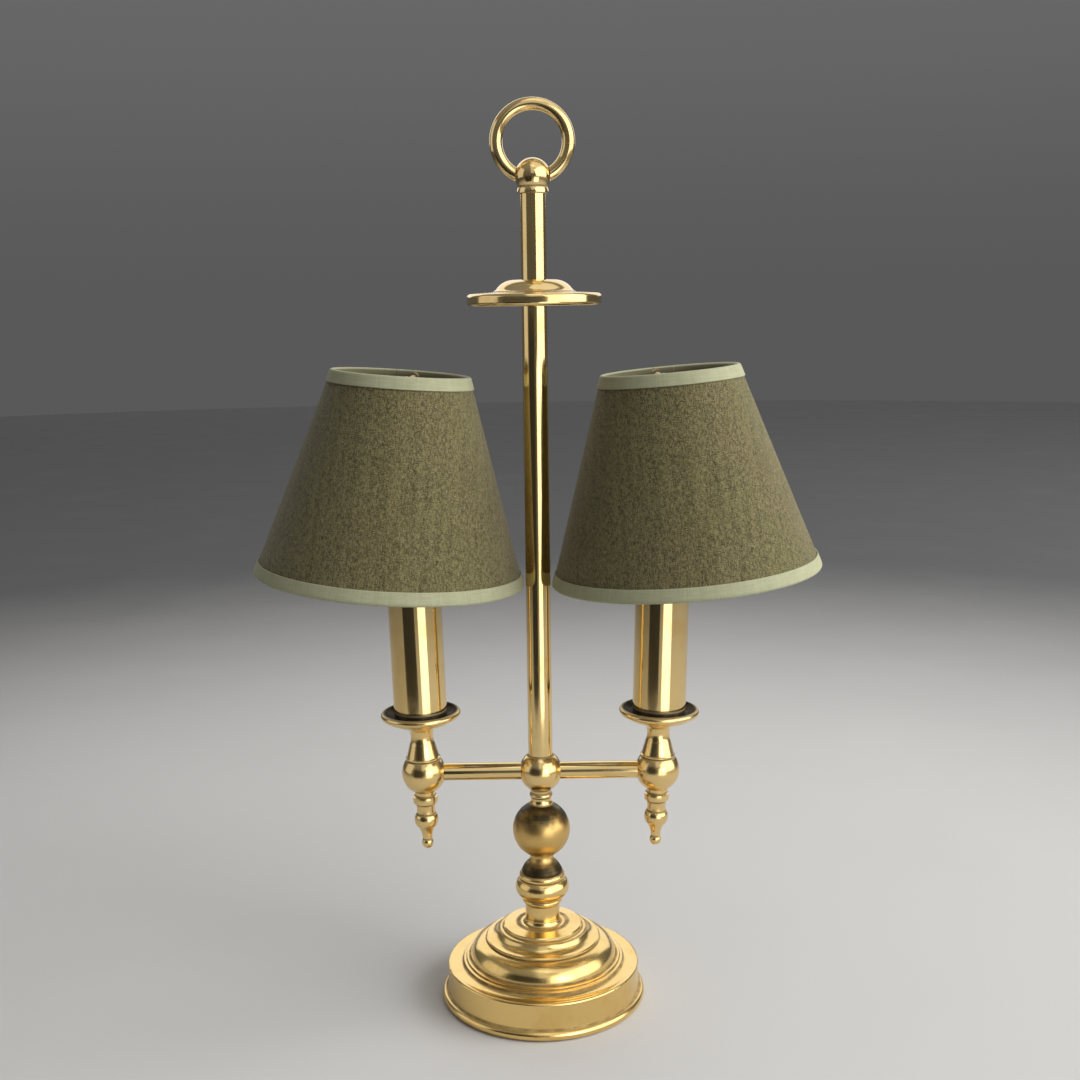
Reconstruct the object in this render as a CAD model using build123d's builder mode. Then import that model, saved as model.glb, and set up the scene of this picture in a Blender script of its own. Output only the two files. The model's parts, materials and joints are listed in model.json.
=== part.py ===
# Two-candle brass table lamp with tilting clip-on shades.
# Millimetres, Z up, X along the arms; the lamp stands on its felt at z = 0, with its column on the Z axis.
from build123d import *

import os
from math import cos, radians, sin, sqrt

os.makedirs("parts", exist_ok=True)

# Clearances
fit_gap = 0.05  # radial gap of a bore round the pipe, tube, rod or pin that it holds
running_gap = 0.3  # gap between pieces that move past each other
overrun = 1.0  # length by which a cut runs past the face that it opens

# Threaded pipe, tie rod, nuts and wires
pipe_radius = 4.0
pipe_bore_radius = 2.75
rod_radius = 3.0
nut_across_flats = 13.0
nut_height = 4.0
lead_radius = 1.0
lead_spacing = 1.35  # from the lamp's axis to each lead in the stem
lead_bend = 4.0
wire_bore_radius = 3.0

# Base shell: outline as shares of its radius and height, from the foot edge up to the top plate
base_radius = 50.8
base_height = 37.6
base_wall = 1.8
base_top_wall = 3.6
felt_height = 1.4
felt_proud = 0.4
drum_share = 0.941  # waist of the drum
drum_edge_share = 0.95  # widest place on the drum, at its two edges
base_shell_shares = (
    (0.977, 0),
    (1, 0.048, 0.963, 0.114),
    (0.949, 0.128),
    (drum_share, 0.282, 0.941, 0.432),
    (0.937, 0.458, 0.922, 0.468),
    (0.9, 0.465),
    (0.84, 0.46, 0.785, 0.484),
    (0.785, 0.519),
    (0.754, 0.524),
    (0.754, 0.551),
    (0.719, 0.556),
    (0.672, 0.702, 0.551, 0.779),
    (0.559, 0.793),
    (0.559, 0.811),
    (0.549, 0.822),
    (0.484, 0.846, 0.438, 0.912),
    (0.434, 0.928),
    (0.391, 0.939),
    (0.387, 0.971),
    (0.377, 0.984),
    (0.25, 1),
)
base_cavity_shares = (
    (1, 0),
    (1, 0.435),
    (0.823, 0.476),
    (0.754, 0.565),
    (0.573, 0.8),
    (0.44, 0.947),
    (0.375, 1),
)

# Inside the base
pocket_radius = 27.0
pocket_height = 11.6
channel_width = 12.0
channel_height = 14.4
washer_radius = 12.0
washer_height = 1.5
pipe_tail = 1.2
block_width = 18.0
block_depth = 9.0
block_height = 10.4
block_gap = 0.8

# Cord inlet bush in the back of the drum
inlet_height = 10.8
bush_radius = 3.9
bush_bore_radius = 2.9
bush_length = 6.5
bush_flange_radius = 5.2
bush_flange_height = 1.6
bush_edge = 0.6

# Stem, from the base's top plate up to the hub
stem_neck_radius = 13.4
stem_neck_height = 26.5
stem_neck_shares = (
    (0.73, 0),
    (0.665, 0.045, 0.64, 0.13),
    (0.635, 0.39),
    (0.7, 0.405),
    (0.745, 0.45, 0.72, 0.49),
    (0.7, 0.5),
    (0.77, 0.52),
    (1, 0.71, 0.86, 0.875),
    (0.82, 0.885),
    (0.85, 0.93, 0.82, 0.975),
    (0.79, 1),
)
stem_bell_radius = 10.1
stem_bell_height = 9.2
stem_bell_shares = (
    (0.94, 0),
    (1, 0.05),
    (0.99, 0.13),
    (0.9, 0.32, 0.74, 0.55),
    (0.6, 0.74, 0.56, 1),
)
stem_ball_radius = 14.2
neck_seat_radius = 5.6
hub_neck_radius = 6.2
hub_neck_height = 7.935
hub_neck_shares = (
    (1, 0),
    (0.83, 0.18, 0.8, 0.43),
    (0.85, 0.48),
    (0.92, 0.58, 0.87, 0.7),
    (0.81, 0.76),
    (0.84, 1),
)
hub_radius = 10.6
hub_socket_rise = 6.0
hub_floor = 1.0  # metal between the pipe's end and the arms' wire bore

# Arms
arm_reach = 57.6
arm_radius = 4.25
arm_bore_radius = 3.3
arm_depth = 5.0

# Column
column_radius = 6.0
column_bore_radius = 5.0
column_lower_length = 220.1
column_upper_length = 38.9
disc_radius = 31.5
disc_height = 12.0
disc_shares = (
    (0.95, 0),
    (0.985, 0.045, 1, 0.17),
    (1, 0.31),
    (0.985, 0.43, 0.945, 0.48),
    (0.68, 0.53),
    (0.6, 0.575, 0.56, 0.66),
    (0.48, 0.865, 0.33, 1),
)
top_collar_radius = 7.25
top_collar_height = 3.1
top_collar_shares = ((0.9, 0), (1, 0.12), (1, 0.5, 0.93, 1))

# Finial ball and the ring that swings on it
finial_radius = 8.25
finial_seat_radius = 6.6
finial_rod_depth = 3.0
ring_radius = 16.65
ring_wire_radius = 3.0
ring_drop = 1.3  # the ring's lowest centre line, below its pivot
pin_radius = 1.1
pin_depth = 3.6
pin_root = 1.0

# Candles, on axes that lean out a little
candle_lean = 1.5
candle_ball_radius = 10.85
baluster_radius = 8.4
baluster_height = 16.456
baluster_shares = (
    (0.95, 0),
    (1, 0.03),
    (1, 0.07),
    (0.95, 0.1),
    (0.74, 0.48),
    (0.655, 0.74, 0.72, 0.91),
    (0.8, 0.96, 0.985, 1),
)
drop_radius = 6.1
drop_seat_radius = 4.9
drop_height = 29.6
drop_shares = (
    (0.02, 0),
    (0.47, 0.085, 0.37, 0.16),
    (0.42, 0.25),
    (0.56, 0.33, 0.85, 0.415),
    (0.97, 0.5, 0.86, 0.6),
    (0.76, 0.62),
    (0.74, 0.7, 0.78, 0.79),
    (0.98, 0.81),
    (1, 0.87, 0.98, 0.92),
    (0.8, 0.94),
    (0.8, 1),
)
stud_radius = 2.5
stud_height = 4.0
pan_radius = 19.5
pan_height = 10.2
pan_shares = (
    (0.43, 0),
    (0.5, 0.1),
    (0.74, 0.25, 0.9, 0.46),
    (1, 0.63, 0.955, 0.79),
    (0.92, 0.805, 0.885, 0.75),
    (0.8, 0.58, 0.67, 0.55),
    (0.655, 0.61),
    (0.655, 1),
)
spigot_height = 3.0
sleeve_radius = 13.0
sleeve_bore_radius = 12.0
sleeve_headroom = 99.6  # from the sleeve's top up to the top of the column's lower tube
nipple_foot = 4.2

# Lampholder inside each sleeve
holder_recess = 1.5
holder_rise = 9.5  # the holder's foot above the sleeve's, clear of the pan's nut
holder_side_gap = 0.3
holder_socket_depth = 12.0
cup_depth = 26.5
screw_wall = 0.5
screw_length = 20.0
screw_rise = 5.0
contact_radius = 3.0
contact_height = 1.6

# Round bulb
cap_radius = 7.0
cap_length = 25.0
cap_shares = ((0.34, 0), (0.34, 0.06), (0.72, 0.13), (1, 0.2), (1, 1))
bulb_radius = 22.5
bulb_neck_height = 32.5
bulb_neck_angle = 51.5
glass_wall = 1.0

# Shades: cloth on card, resting against the column below and tilted towards it
shade_bottom_radius = 64.4
shade_top_radius = 32.4
shade_height = 98.5
shade_wall = 1.2
shade_tilt = 4.7
shade_rest_gap = 0.4
shade_seat = 60.4  # bulb's centre above the shade's bottom edge, along the shade's axis
trim_wall = 0.6
trim_width = 6.4
shade_wire_radius = 1.2
shade_wire_inset = 3.0

# Spring clip that grips the bulb from both sides
clip_wire_radius = 1.0
clip_leg_radius = 0.9
clip_loop_radius = 12.0
clip_eye_wall = 1.1
clip_eye_length = 3.0
clip_bridge_drop = 6.0

# Worked-out places on the lamp's axis
lamp = Plane.XY
pipe_hole_radius = pipe_radius + fit_gap
rod_hole_radius = rod_radius + fit_gap
drum_radius = base_radius * drum_share
drum_edge_radius = base_radius * drum_edge_share
cavity_radius = drum_radius - base_wall
cavity_height = base_height - base_top_wall
pocket_top = felt_height + pocket_height
washer_foot = pocket_top - washer_height
nut_foot = washer_foot - nut_height
pipe_foot = nut_foot - pipe_tail
block_foot = pocket_top - block_height
block_face = washer_radius + block_gap
stem_neck_foot = felt_proud + base_height
stem_bell_foot = stem_neck_foot + stem_neck_height
stem_ball_z = stem_bell_foot + stem_bell_height + sqrt(stem_ball_radius**2 - neck_seat_radius**2)
hub_neck_foot = stem_ball_z + sqrt(stem_ball_radius**2 - neck_seat_radius**2)
hub_z = hub_neck_foot + hub_neck_height + sqrt(hub_radius**2 - neck_seat_radius**2)
pipe_top = hub_z - wire_bore_radius - hub_floor
column_foot = hub_z + hub_socket_rise
disc_foot = column_foot + column_lower_length
column_upper_foot = disc_foot + disc_height
top_collar_foot = column_upper_foot + column_upper_length
finial_seat_z = top_collar_foot + top_collar_height
finial_z = finial_seat_z + sqrt(finial_radius**2 - finial_seat_radius**2)
rod_foot = hub_z + wire_bore_radius
rod_top = finial_seat_z + finial_rod_depth
ring_z = finial_z + ring_radius - ring_drop

# Worked-out places along the arms and on each candle's axis, measured from the arms' axis
arm_start = hub_radius - arm_depth
arm_end = arm_reach - candle_ball_radius + arm_depth
drop_top = -sqrt(candle_ball_radius**2 - drop_seat_radius**2)
baluster_foot = sqrt(candle_ball_radius**2 - baluster_radius**2)
pan_foot = baluster_foot + baluster_height
sleeve_foot = pan_foot + pan_height
spigot_top = sleeve_foot + spigot_height
sleeve_top = hub_socket_rise + column_lower_length - sleeve_headroom
sleeve_length = sleeve_top - sleeve_foot
holder_top = sleeve_top - holder_recess
holder_foot = sleeve_foot + holder_rise
holder_height = holder_top - holder_foot
nipple_top = holder_foot + holder_socket_depth
cup_floor = holder_top - cup_depth
screw_radius = cap_radius + fit_gap + screw_wall
cap_foot = cup_floor + contact_height + running_gap
cap_top = cap_foot + cap_length
bulb_rise = cap_top + bulb_neck_height

# Worked-out places on each shade's axis, measured from its bottom edge
shade_slope = (shade_bottom_radius - shade_top_radius) / shade_height
shade_flank = sqrt(1 + shade_slope**2)
shade_rim_radius = shade_bottom_radius + fit_gap + trim_wall
bar_height = shade_height - shade_wire_inset
loop_offset = sqrt((bulb_radius + running_gap + clip_wire_radius) ** 2 - clip_loop_radius**2)
bulb_x = arm_reach + bulb_rise * sin(radians(candle_lean))
bulb_z = hub_z + bulb_rise * cos(radians(candle_lean))
shade_x = column_radius + shade_rest_gap + shade_rim_radius * cos(radians(shade_tilt))
shade_lean = (bulb_x - shade_x) * sin(radians(shade_tilt))
shade_z = bulb_z - (shade_seat + shade_lean) / cos(radians(shade_tilt))


def turned_face(shares, radius, height, bore=0):
    """Face of a turned profile between its bore and its outline.

    A row of two shares is a straight run to a radius and a height, and a row of four is an arc
    through the first two to the last two.
    """
    with BuildSketch() as face:
        with BuildLine():
            start = (shares[0][0] * radius, shares[0][1] * height)
            here = start
            for row in shares[1:]:
                there = (row[-2] * radius, row[-1] * height)
                if len(row) > len(start):
                    ThreePointArc(here, (row[0] * radius, row[1] * height), there)
                else:
                    Line(here, there)
                here = there
            Polyline(here, (bore, here[1]), (bore, start[1]), start)
        make_face()
    return face.sketch


def ball_face(radius, low_seat, high_seat, bore=0):
    """Face of a ball's profile, cut flat where it meets the pieces below and above it."""
    low = (low_seat, -sqrt(radius**2 - low_seat**2))
    high = (high_seat, sqrt(radius**2 - high_seat**2))
    with BuildSketch() as face:
        with BuildLine():
            ThreePointArc(low, (radius, 0), high)
            Polyline(high, (bore, high[1]), (bore, low[1]), low)
        make_face()
    return face.sketch


def bulb_face(radius, neck):
    """Face of a round bulb's profile: a cone from the neck that runs into a ball."""
    turn = radians(bulb_neck_angle)
    ball_start = (radius * cos(turn), bulb_neck_height - radius * sin(turn))
    top = (0, bulb_neck_height + radius)
    with BuildSketch() as face:
        with BuildLine():
            Line((neck, 0), ball_start)
            ThreePointArc(ball_start, (radius, bulb_neck_height), top)
            Polyline(top, (0, 0), (neck, 0))
        make_face()
    return face.sketch


def cone_radius(height):
    """Outside radius of the shade's cloth at a height above its bottom edge."""
    return shade_bottom_radius - height * shade_slope


def band_face(low, high, inner, outer):
    """Face of a band that follows the shade's cone, between two heights and two steps from the cloth."""
    with BuildSketch() as face:
        with BuildLine():
            Polyline(
                (cone_radius(low) + inner, low),
                (cone_radius(low) + outer, low),
                (cone_radius(high) + outer, high),
                (cone_radius(high) + inner, high),
                close=True,
            )
        make_face()
    return face.sketch


def side_plane(frame, height=0):
    """Plane through a frame's axis, with its origin at a height on that axis."""
    return Plane(frame.offset(height).origin, x_dir=frame.x_dir, z_dir=-frame.y_dir)


def axis_of(frame):
    """Axis along a frame's own Z."""
    return Axis(frame.origin, frame.z_dir)


def across(frame, x, y, z):
    """Plane at a place in a frame, whose normal is the frame's Y."""
    return Plane(frame.from_local_coords((x, y, z)), x_dir=frame.x_dir, z_dir=frame.y_dir)


def save(piece, name):
    """Label a finished piece and write it to its own file."""
    piece.part.label = name
    export_step(piece.part, f"parts/{name}.step")


upright = (Align.CENTER, Align.CENTER, Align.MIN)
hanging = (Align.CENTER, Align.CENTER, Align.MAX)
inlet = Plane((0, drum_edge_radius, inlet_height), x_dir=(1, 0, 0), z_dir=(0, 1, 0))

# Base shell: a spun brass drum and stepped dome, open below, with the cord's hole at the back
with BuildPart() as base_shell:
    with BuildSketch(side_plane(lamp, felt_proud)):
        add(turned_face(base_shell_shares, base_radius, base_height, pipe_hole_radius))
    revolve(axis=Axis.Z)
    with BuildSketch(side_plane(lamp, felt_proud)):
        add(turned_face(base_cavity_shares, cavity_radius, cavity_height))
    revolve(axis=Axis.Z, mode=Mode.SUBTRACT)
    with Locations(inlet.offset(overrun)):
        Cylinder(bush_radius + fit_gap, bush_length, align=hanging, mode=Mode.SUBTRACT)
save(base_shell, "base_shell")

# Iron weight that fills the shell, with a pocket for the nut and a channel for the cord
with BuildPart() as base_weight:
    with BuildSketch(side_plane(lamp, felt_proud)):
        add(turned_face(base_cavity_shares, cavity_radius - running_gap, cavity_height, pipe_hole_radius))
    revolve(axis=Axis.Z)
    split(bisect_by=Plane.XY.offset(felt_height), keep=Keep.TOP)
    with Locations((0, 0, felt_height)):
        Cylinder(pocket_radius, pocket_height, align=upright, mode=Mode.SUBTRACT)
        Box(
            channel_width,
            base_radius,
            channel_height,
            align=(Align.CENTER, Align.MIN, Align.MIN),
            mode=Mode.SUBTRACT,
        )
save(base_weight, "base_weight")

# Felt under the base
with BuildPart() as felt_pad:
    Cylinder(cavity_radius - running_gap, felt_height, align=upright)
save(felt_pad, "felt_pad")

# Bush where the cord enters, through the back of the drum
with BuildPart() as cord_bush:
    with Locations(inlet):
        Cylinder(bush_radius, bush_length, align=hanging)
        Cylinder(bush_flange_radius, bush_flange_height, align=upright)
    fillet(cord_bush.edges().filter_by(GeomType.CIRCLE).sort_by(Axis.Y)[-1], bush_edge)
    with Locations(inlet.offset(bush_flange_height)):
        Cylinder(bush_bore_radius, bush_flange_height + bush_length, align=hanging, mode=Mode.SUBTRACT)
save(cord_bush, "cord_bush")

# Washer and nut that clamp the base to the pipe
with BuildPart() as base_washer:
    with BuildSketch(Plane.XY.offset(washer_foot)):
        Circle(washer_radius)
        Circle(pipe_hole_radius, mode=Mode.SUBTRACT)
    extrude(amount=washer_height)
save(base_washer, "base_washer")

with BuildPart() as base_nut:
    with BuildSketch(Plane.XY.offset(nut_foot)):
        RegularPolygon(nut_across_flats / 2, side_count=6, major_radius=False)
        Circle(pipe_hole_radius, mode=Mode.SUBTRACT)
    extrude(amount=nut_height)
save(base_nut, "base_nut")

# Terminal block, on the pocket's ceiling behind the washer
with BuildPart() as terminal_block:
    with Locations((0, block_face, pocket_top)):
        Box(block_width, block_depth, block_height, align=(Align.CENTER, Align.MIN, Align.MAX))
save(terminal_block, "terminal_block")

# Threaded pipe from the base nut up into the hub
with BuildPart() as stem_pipe:
    with BuildSketch(Plane.XY.offset(pipe_foot)):
        Circle(pipe_radius)
        Circle(pipe_bore_radius, mode=Mode.SUBTRACT)
    extrude(amount=pipe_top - pipe_foot)
save(stem_pipe, "stem_pipe")

# Turned pieces that are threaded on the pipe
with BuildPart() as stem_neck:
    with BuildSketch(side_plane(lamp, stem_neck_foot)):
        add(turned_face(stem_neck_shares, stem_neck_radius, stem_neck_height, pipe_hole_radius))
    revolve(axis=Axis.Z)
save(stem_neck, "stem_neck")

with BuildPart() as stem_bell:
    with BuildSketch(side_plane(lamp, stem_bell_foot)):
        add(turned_face(stem_bell_shares, stem_bell_radius, stem_bell_height, pipe_hole_radius))
    revolve(axis=Axis.Z)
save(stem_bell, "stem_bell")

with BuildPart() as stem_ball:
    with BuildSketch(side_plane(lamp, stem_ball_z)):
        add(ball_face(stem_ball_radius, neck_seat_radius, neck_seat_radius, pipe_hole_radius))
    revolve(axis=Axis.Z)
save(stem_ball, "stem_ball")

with BuildPart() as hub_neck:
    with BuildSketch(side_plane(lamp, hub_neck_foot)):
        add(turned_face(hub_neck_shares, hub_neck_radius, hub_neck_height, pipe_hole_radius))
    revolve(axis=Axis.Z)
save(hub_neck, "hub_neck")


def arm_plane(side, reach=0):
    """Plane across an arm, at a reach from the lamp's axis, that faces outwards."""
    return Plane((side * reach, 0, hub_z), x_dir=(0, side, 0), z_dir=(side, 0, 0))


sides = ((-1, "left"), (1, "right"))

# Hub ball: sockets for the pipe, the two arms, the column and the tie rod, with wire bores between them
with BuildPart() as hub_ball:
    with BuildSketch(side_plane(lamp, hub_z)):
        add(ball_face(hub_radius, neck_seat_radius, column_radius))
    revolve(axis=Axis.Z)
    with Locations((0, 0, pipe_top)):
        Cylinder(pipe_hole_radius, hub_radius, align=hanging, mode=Mode.SUBTRACT)
        Cylinder(wire_bore_radius, hub_z - pipe_top, align=upright, mode=Mode.SUBTRACT)
    with Locations((0, 0, hub_z)):
        Cylinder(rod_hole_radius, hub_radius, align=upright, mode=Mode.SUBTRACT)
    with Locations((0, 0, column_foot)):
        Cylinder(column_radius + fit_gap, hub_radius, align=upright, mode=Mode.SUBTRACT)
    for side, word in sides:
        with Locations(arm_plane(side)):
            Cylinder(wire_bore_radius, hub_radius, align=upright, mode=Mode.SUBTRACT)
        with Locations(arm_plane(side, arm_start)):
            Cylinder(arm_radius + fit_gap, hub_radius, align=upright, mode=Mode.SUBTRACT)
save(hub_ball, "hub_ball")

# Column: two tubes with the disc between them, a collar and the finial ball, held by one tie rod
with BuildPart() as column_lower_tube:
    with BuildSketch(Plane.XY.offset(column_foot)):
        Circle(column_radius)
        Circle(column_bore_radius, mode=Mode.SUBTRACT)
    extrude(amount=column_lower_length)
save(column_lower_tube, "column_lower_tube")

with BuildPart() as column_disc:
    with BuildSketch(side_plane(lamp, disc_foot)):
        add(turned_face(disc_shares, disc_radius, disc_height, rod_hole_radius))
    revolve(axis=Axis.Z)
save(column_disc, "column_disc")

with BuildPart() as column_upper_tube:
    with BuildSketch(Plane.XY.offset(column_upper_foot)):
        Circle(column_radius)
        Circle(column_bore_radius, mode=Mode.SUBTRACT)
    extrude(amount=column_upper_length)
save(column_upper_tube, "column_upper_tube")

with BuildPart() as top_collar:
    with BuildSketch(side_plane(lamp, top_collar_foot)):
        add(turned_face(top_collar_shares, top_collar_radius, top_collar_height, rod_hole_radius))
    revolve(axis=Axis.Z)
save(top_collar, "top_collar")

with BuildPart() as tie_rod:
    with Locations((0, 0, rod_foot)):
        Cylinder(rod_radius, rod_top - rod_foot, align=upright)
save(tie_rod, "tie_rod")

with BuildPart() as finial_ball:
    with Locations((0, 0, finial_z)):
        Sphere(finial_radius)
    split(bisect_by=Plane.XY.offset(finial_seat_z), keep=Keep.TOP)
    with Locations((0, 0, rod_top)):
        Cylinder(rod_hole_radius, finial_radius, align=hanging, mode=Mode.SUBTRACT)
    for side, word in sides:
        pin_hole = Plane((side * finial_radius, 0, finial_z), x_dir=(0, 1, 0), z_dir=(-side, 0, 0))
        with Locations(pin_hole):
            Cylinder(
                pin_radius + fit_gap,
                pin_depth + running_gap,
                align=upright,
                mode=Mode.SUBTRACT,
            )
save(finial_ball, "finial_ball")

# Carrying ring: open where the ball sits, with a pivot pin at each end that turns in the ball
with BuildPart() as ring_handle:
    with Locations(across(lamp, 0, 0, ring_z)):
        Torus(ring_radius, ring_wire_radius)
    with Locations((0, 0, finial_z)):
        Sphere(finial_radius + running_gap, mode=Mode.SUBTRACT)
    for side, word in sides:
        pin_start = Plane(
            (side * (finial_radius + pin_root), 0, finial_z), x_dir=(0, 1, 0), z_dir=(-side, 0, 0)
        )
        with Locations(pin_start):
            Cylinder(pin_radius, pin_depth + pin_root, align=upright)
save(ring_handle, "ring_handle")

for side, word in sides:
    lean = radians(candle_lean)
    tilt = radians(shade_tilt)
    candle = Plane(
        (side * arm_reach, 0, hub_z),
        x_dir=(side * cos(lean), 0, -sin(lean)),
        z_dir=(side * sin(lean), 0, cos(lean)),
    )
    shade = Plane(
        (side * shade_x, 0, shade_z),
        x_dir=(side * cos(tilt), 0, sin(tilt)),
        z_dir=(-side * sin(tilt), 0, cos(tilt)),
    )

    # Arm tube from the hub to the candle ball
    with BuildPart() as arm_tube:
        with BuildSketch(arm_plane(side, arm_start)):
            Circle(arm_radius)
            Circle(arm_bore_radius, mode=Mode.SUBTRACT)
        extrude(amount=arm_end - arm_start)
    save(arm_tube, f"arm_tube_{word}")

    # Candle ball: sockets for the arm, the nipple and the drop's stud, with wire bores between them
    with BuildPart() as candle_ball:
        with BuildSketch(side_plane(candle)):
            add(ball_face(candle_ball_radius, drop_seat_radius, baluster_radius))
        revolve(axis=axis_of(candle))
        with Locations(arm_plane(side, arm_end)):
            Cylinder(arm_radius + fit_gap, candle_ball_radius, align=hanging, mode=Mode.SUBTRACT)
        with Locations(arm_plane(side, arm_reach)):
            Cylinder(wire_bore_radius, candle_ball_radius, align=hanging, mode=Mode.SUBTRACT)
        with Locations(candle):
            Cylinder(wire_bore_radius, candle_ball_radius, align=upright, mode=Mode.SUBTRACT)
        with Locations(candle.offset(nipple_foot)):
            Cylinder(pipe_hole_radius, candle_ball_radius, align=upright, mode=Mode.SUBTRACT)
        with Locations(candle.offset(drop_top + stud_height)):
            Cylinder(stud_radius + fit_gap, candle_ball_radius, align=hanging, mode=Mode.SUBTRACT)
    save(candle_ball, f"candle_ball_{word}")

    # Turned drop under the ball, on its own stud
    with BuildPart() as drop_finial:
        with BuildSketch(side_plane(candle, drop_top - drop_height)):
            add(turned_face(drop_shares, drop_radius, drop_height))
        revolve(axis=axis_of(candle))
        with Locations(candle.offset(drop_top)):
            Cylinder(stud_radius, stud_height, align=upright)
    save(drop_finial, f"drop_finial_{word}")

    # Baluster and drip pan above the ball
    with BuildPart() as baluster:
        with BuildSketch(side_plane(candle, baluster_foot)):
            add(turned_face(baluster_shares, baluster_radius, baluster_height, pipe_hole_radius))
        revolve(axis=axis_of(candle))
    save(baluster, f"baluster_{word}")

    with BuildPart() as drip_pan:
        with BuildSketch(side_plane(candle, pan_foot)):
            add(turned_face(pan_shares, pan_radius, pan_height, pipe_hole_radius))
        revolve(axis=axis_of(candle))
        with BuildSketch(candle.offset(sleeve_foot)):
            Circle(sleeve_bore_radius - fit_gap)
            Circle(pipe_hole_radius, mode=Mode.SUBTRACT)
        extrude(amount=spigot_height)
    save(drip_pan, f"drip_pan_{word}")

    with BuildPart() as pan_nut:
        with BuildSketch(candle.offset(spigot_top)):
            RegularPolygon(nut_across_flats / 2, side_count=6, major_radius=False)
            Circle(pipe_hole_radius, mode=Mode.SUBTRACT)
        extrude(amount=nut_height)
    save(pan_nut, f"pan_nut_{word}")

    # Brass sleeve round the lampholder
    with BuildPart() as candle_sleeve:
        with BuildSketch(candle.offset(sleeve_foot)):
            Circle(sleeve_radius)
            Circle(sleeve_bore_radius, mode=Mode.SUBTRACT)
        extrude(amount=sleeve_length)
    save(candle_sleeve, f"candle_sleeve_{word}")

    # Threaded nipple from the candle ball up to the lampholder
    with BuildPart() as holder_nipple:
        with BuildSketch(candle.offset(nipple_foot)):
            Circle(pipe_radius)
            Circle(pipe_bore_radius, mode=Mode.SUBTRACT)
        extrude(amount=nipple_top - nipple_foot)
    save(holder_nipple, f"holder_nipple_{word}")

    # Lampholder body with its screw shell and centre contact
    with BuildPart() as lampholder:
        with Locations(candle.offset(holder_foot)):
            Cylinder(sleeve_bore_radius - holder_side_gap, holder_height, align=upright)
            Cylinder(pipe_hole_radius, holder_socket_depth, align=upright, mode=Mode.SUBTRACT)
        with Locations(candle.offset(holder_top)):
            Cylinder(screw_radius + fit_gap, cup_depth, align=hanging, mode=Mode.SUBTRACT)
    save(lampholder, f"lampholder_{word}")

    with BuildPart() as screw_shell:
        with BuildSketch(candle.offset(cup_floor + screw_rise)):
            Circle(screw_radius)
            Circle(cap_radius + fit_gap, mode=Mode.SUBTRACT)
        extrude(amount=screw_length)
    save(screw_shell, f"screw_shell_{word}")

    with BuildPart() as centre_contact:
        with Locations(candle.offset(cup_floor)):
            Cylinder(contact_radius, contact_height, align=upright)
    save(centre_contact, f"centre_contact_{word}")

    # Lead from the terminal block through the stem, the hub, the arm and the nipple
    lead_low = block_foot + lead_radius + fit_gap
    lead_points = (
        (side * lead_spacing, block_face, lead_low),
        (side * lead_spacing, 0, lead_low),
        (side * lead_spacing, 0, hub_z),
        (side * arm_reach, 0, hub_z),
        candle.offset(nipple_top).origin,
    )
    with BuildPart() as lead:
        with BuildLine() as lead_route:
            FilletPolyline(*lead_points, radius=[pipe_foot - lead_low, lead_bend, lead_bend])
        with BuildSketch(Plane(lead_route.line @ 0, z_dir=lead_route.line % 0)):
            Circle(lead_radius)
        sweep(path=lead_route.line)
    save(lead, f"lead_{word}")

    # Bulb: screw cap and hollow glass
    with BuildPart() as bulb_cap:
        with BuildSketch(side_plane(candle, cap_foot)):
            add(turned_face(cap_shares, cap_radius, cap_length))
        revolve(axis=axis_of(candle))
    save(bulb_cap, f"bulb_cap_{word}")

    with BuildPart() as bulb_glass:
        with BuildSketch(side_plane(candle, cap_top)):
            add(bulb_face(bulb_radius, cap_radius))
        revolve(axis=axis_of(candle))
        with BuildSketch(side_plane(candle, cap_top)):
            add(bulb_face(bulb_radius - glass_wall, cap_radius - glass_wall))
        revolve(axis=axis_of(candle), mode=Mode.SUBTRACT)
    save(bulb_glass, f"bulb_glass_{word}")

    # Shade: cloth-covered card, a folded trim band along each edge
    with BuildPart() as shade_cover:
        with BuildSketch(side_plane(shade)):
            add(band_face(0, shade_height, -shade_wall, 0))
        revolve(axis=axis_of(shade))
    save(shade_cover, f"shade_cover_{word}")

    trims = (("bottom", 0, trim_width), ("top", shade_height - trim_width, shade_height))
    for edge, low, high in trims:
        with BuildPart() as shade_trim:
            with BuildSketch(side_plane(shade)):
                add(band_face(low, high, fit_gap, fit_gap + trim_wall))
            revolve(axis=axis_of(shade))
        save(shade_trim, f"shade_trim_{edge}_{word}")

    # Wire rings just inside the card; the top one carries a cross bar over the bulb
    wire_step = shade_wall + (shade_wire_radius + fit_gap) * shade_flank
    clip_x = shade.to_local_coords(candle.offset(bulb_rise).origin).X
    top_wire_radius = cone_radius(bar_height) - wire_step
    bar_half = sqrt(top_wire_radius**2 - clip_x**2)

    with BuildPart() as shade_ring_bottom:
        with Locations(shade.offset(shade_wire_inset)):
            Torus(cone_radius(shade_wire_inset) - wire_step, shade_wire_radius)
    save(shade_ring_bottom, f"shade_ring_bottom_{word}")

    with BuildPart() as shade_ring_top:
        with Locations(shade.offset(bar_height)):
            Torus(top_wire_radius, shade_wire_radius)
        with Locations(across(shade, clip_x, 0, bar_height)):
            Cylinder(shade_wire_radius, 2 * bar_half)
    save(shade_ring_top, f"shade_ring_top_{word}")

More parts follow.
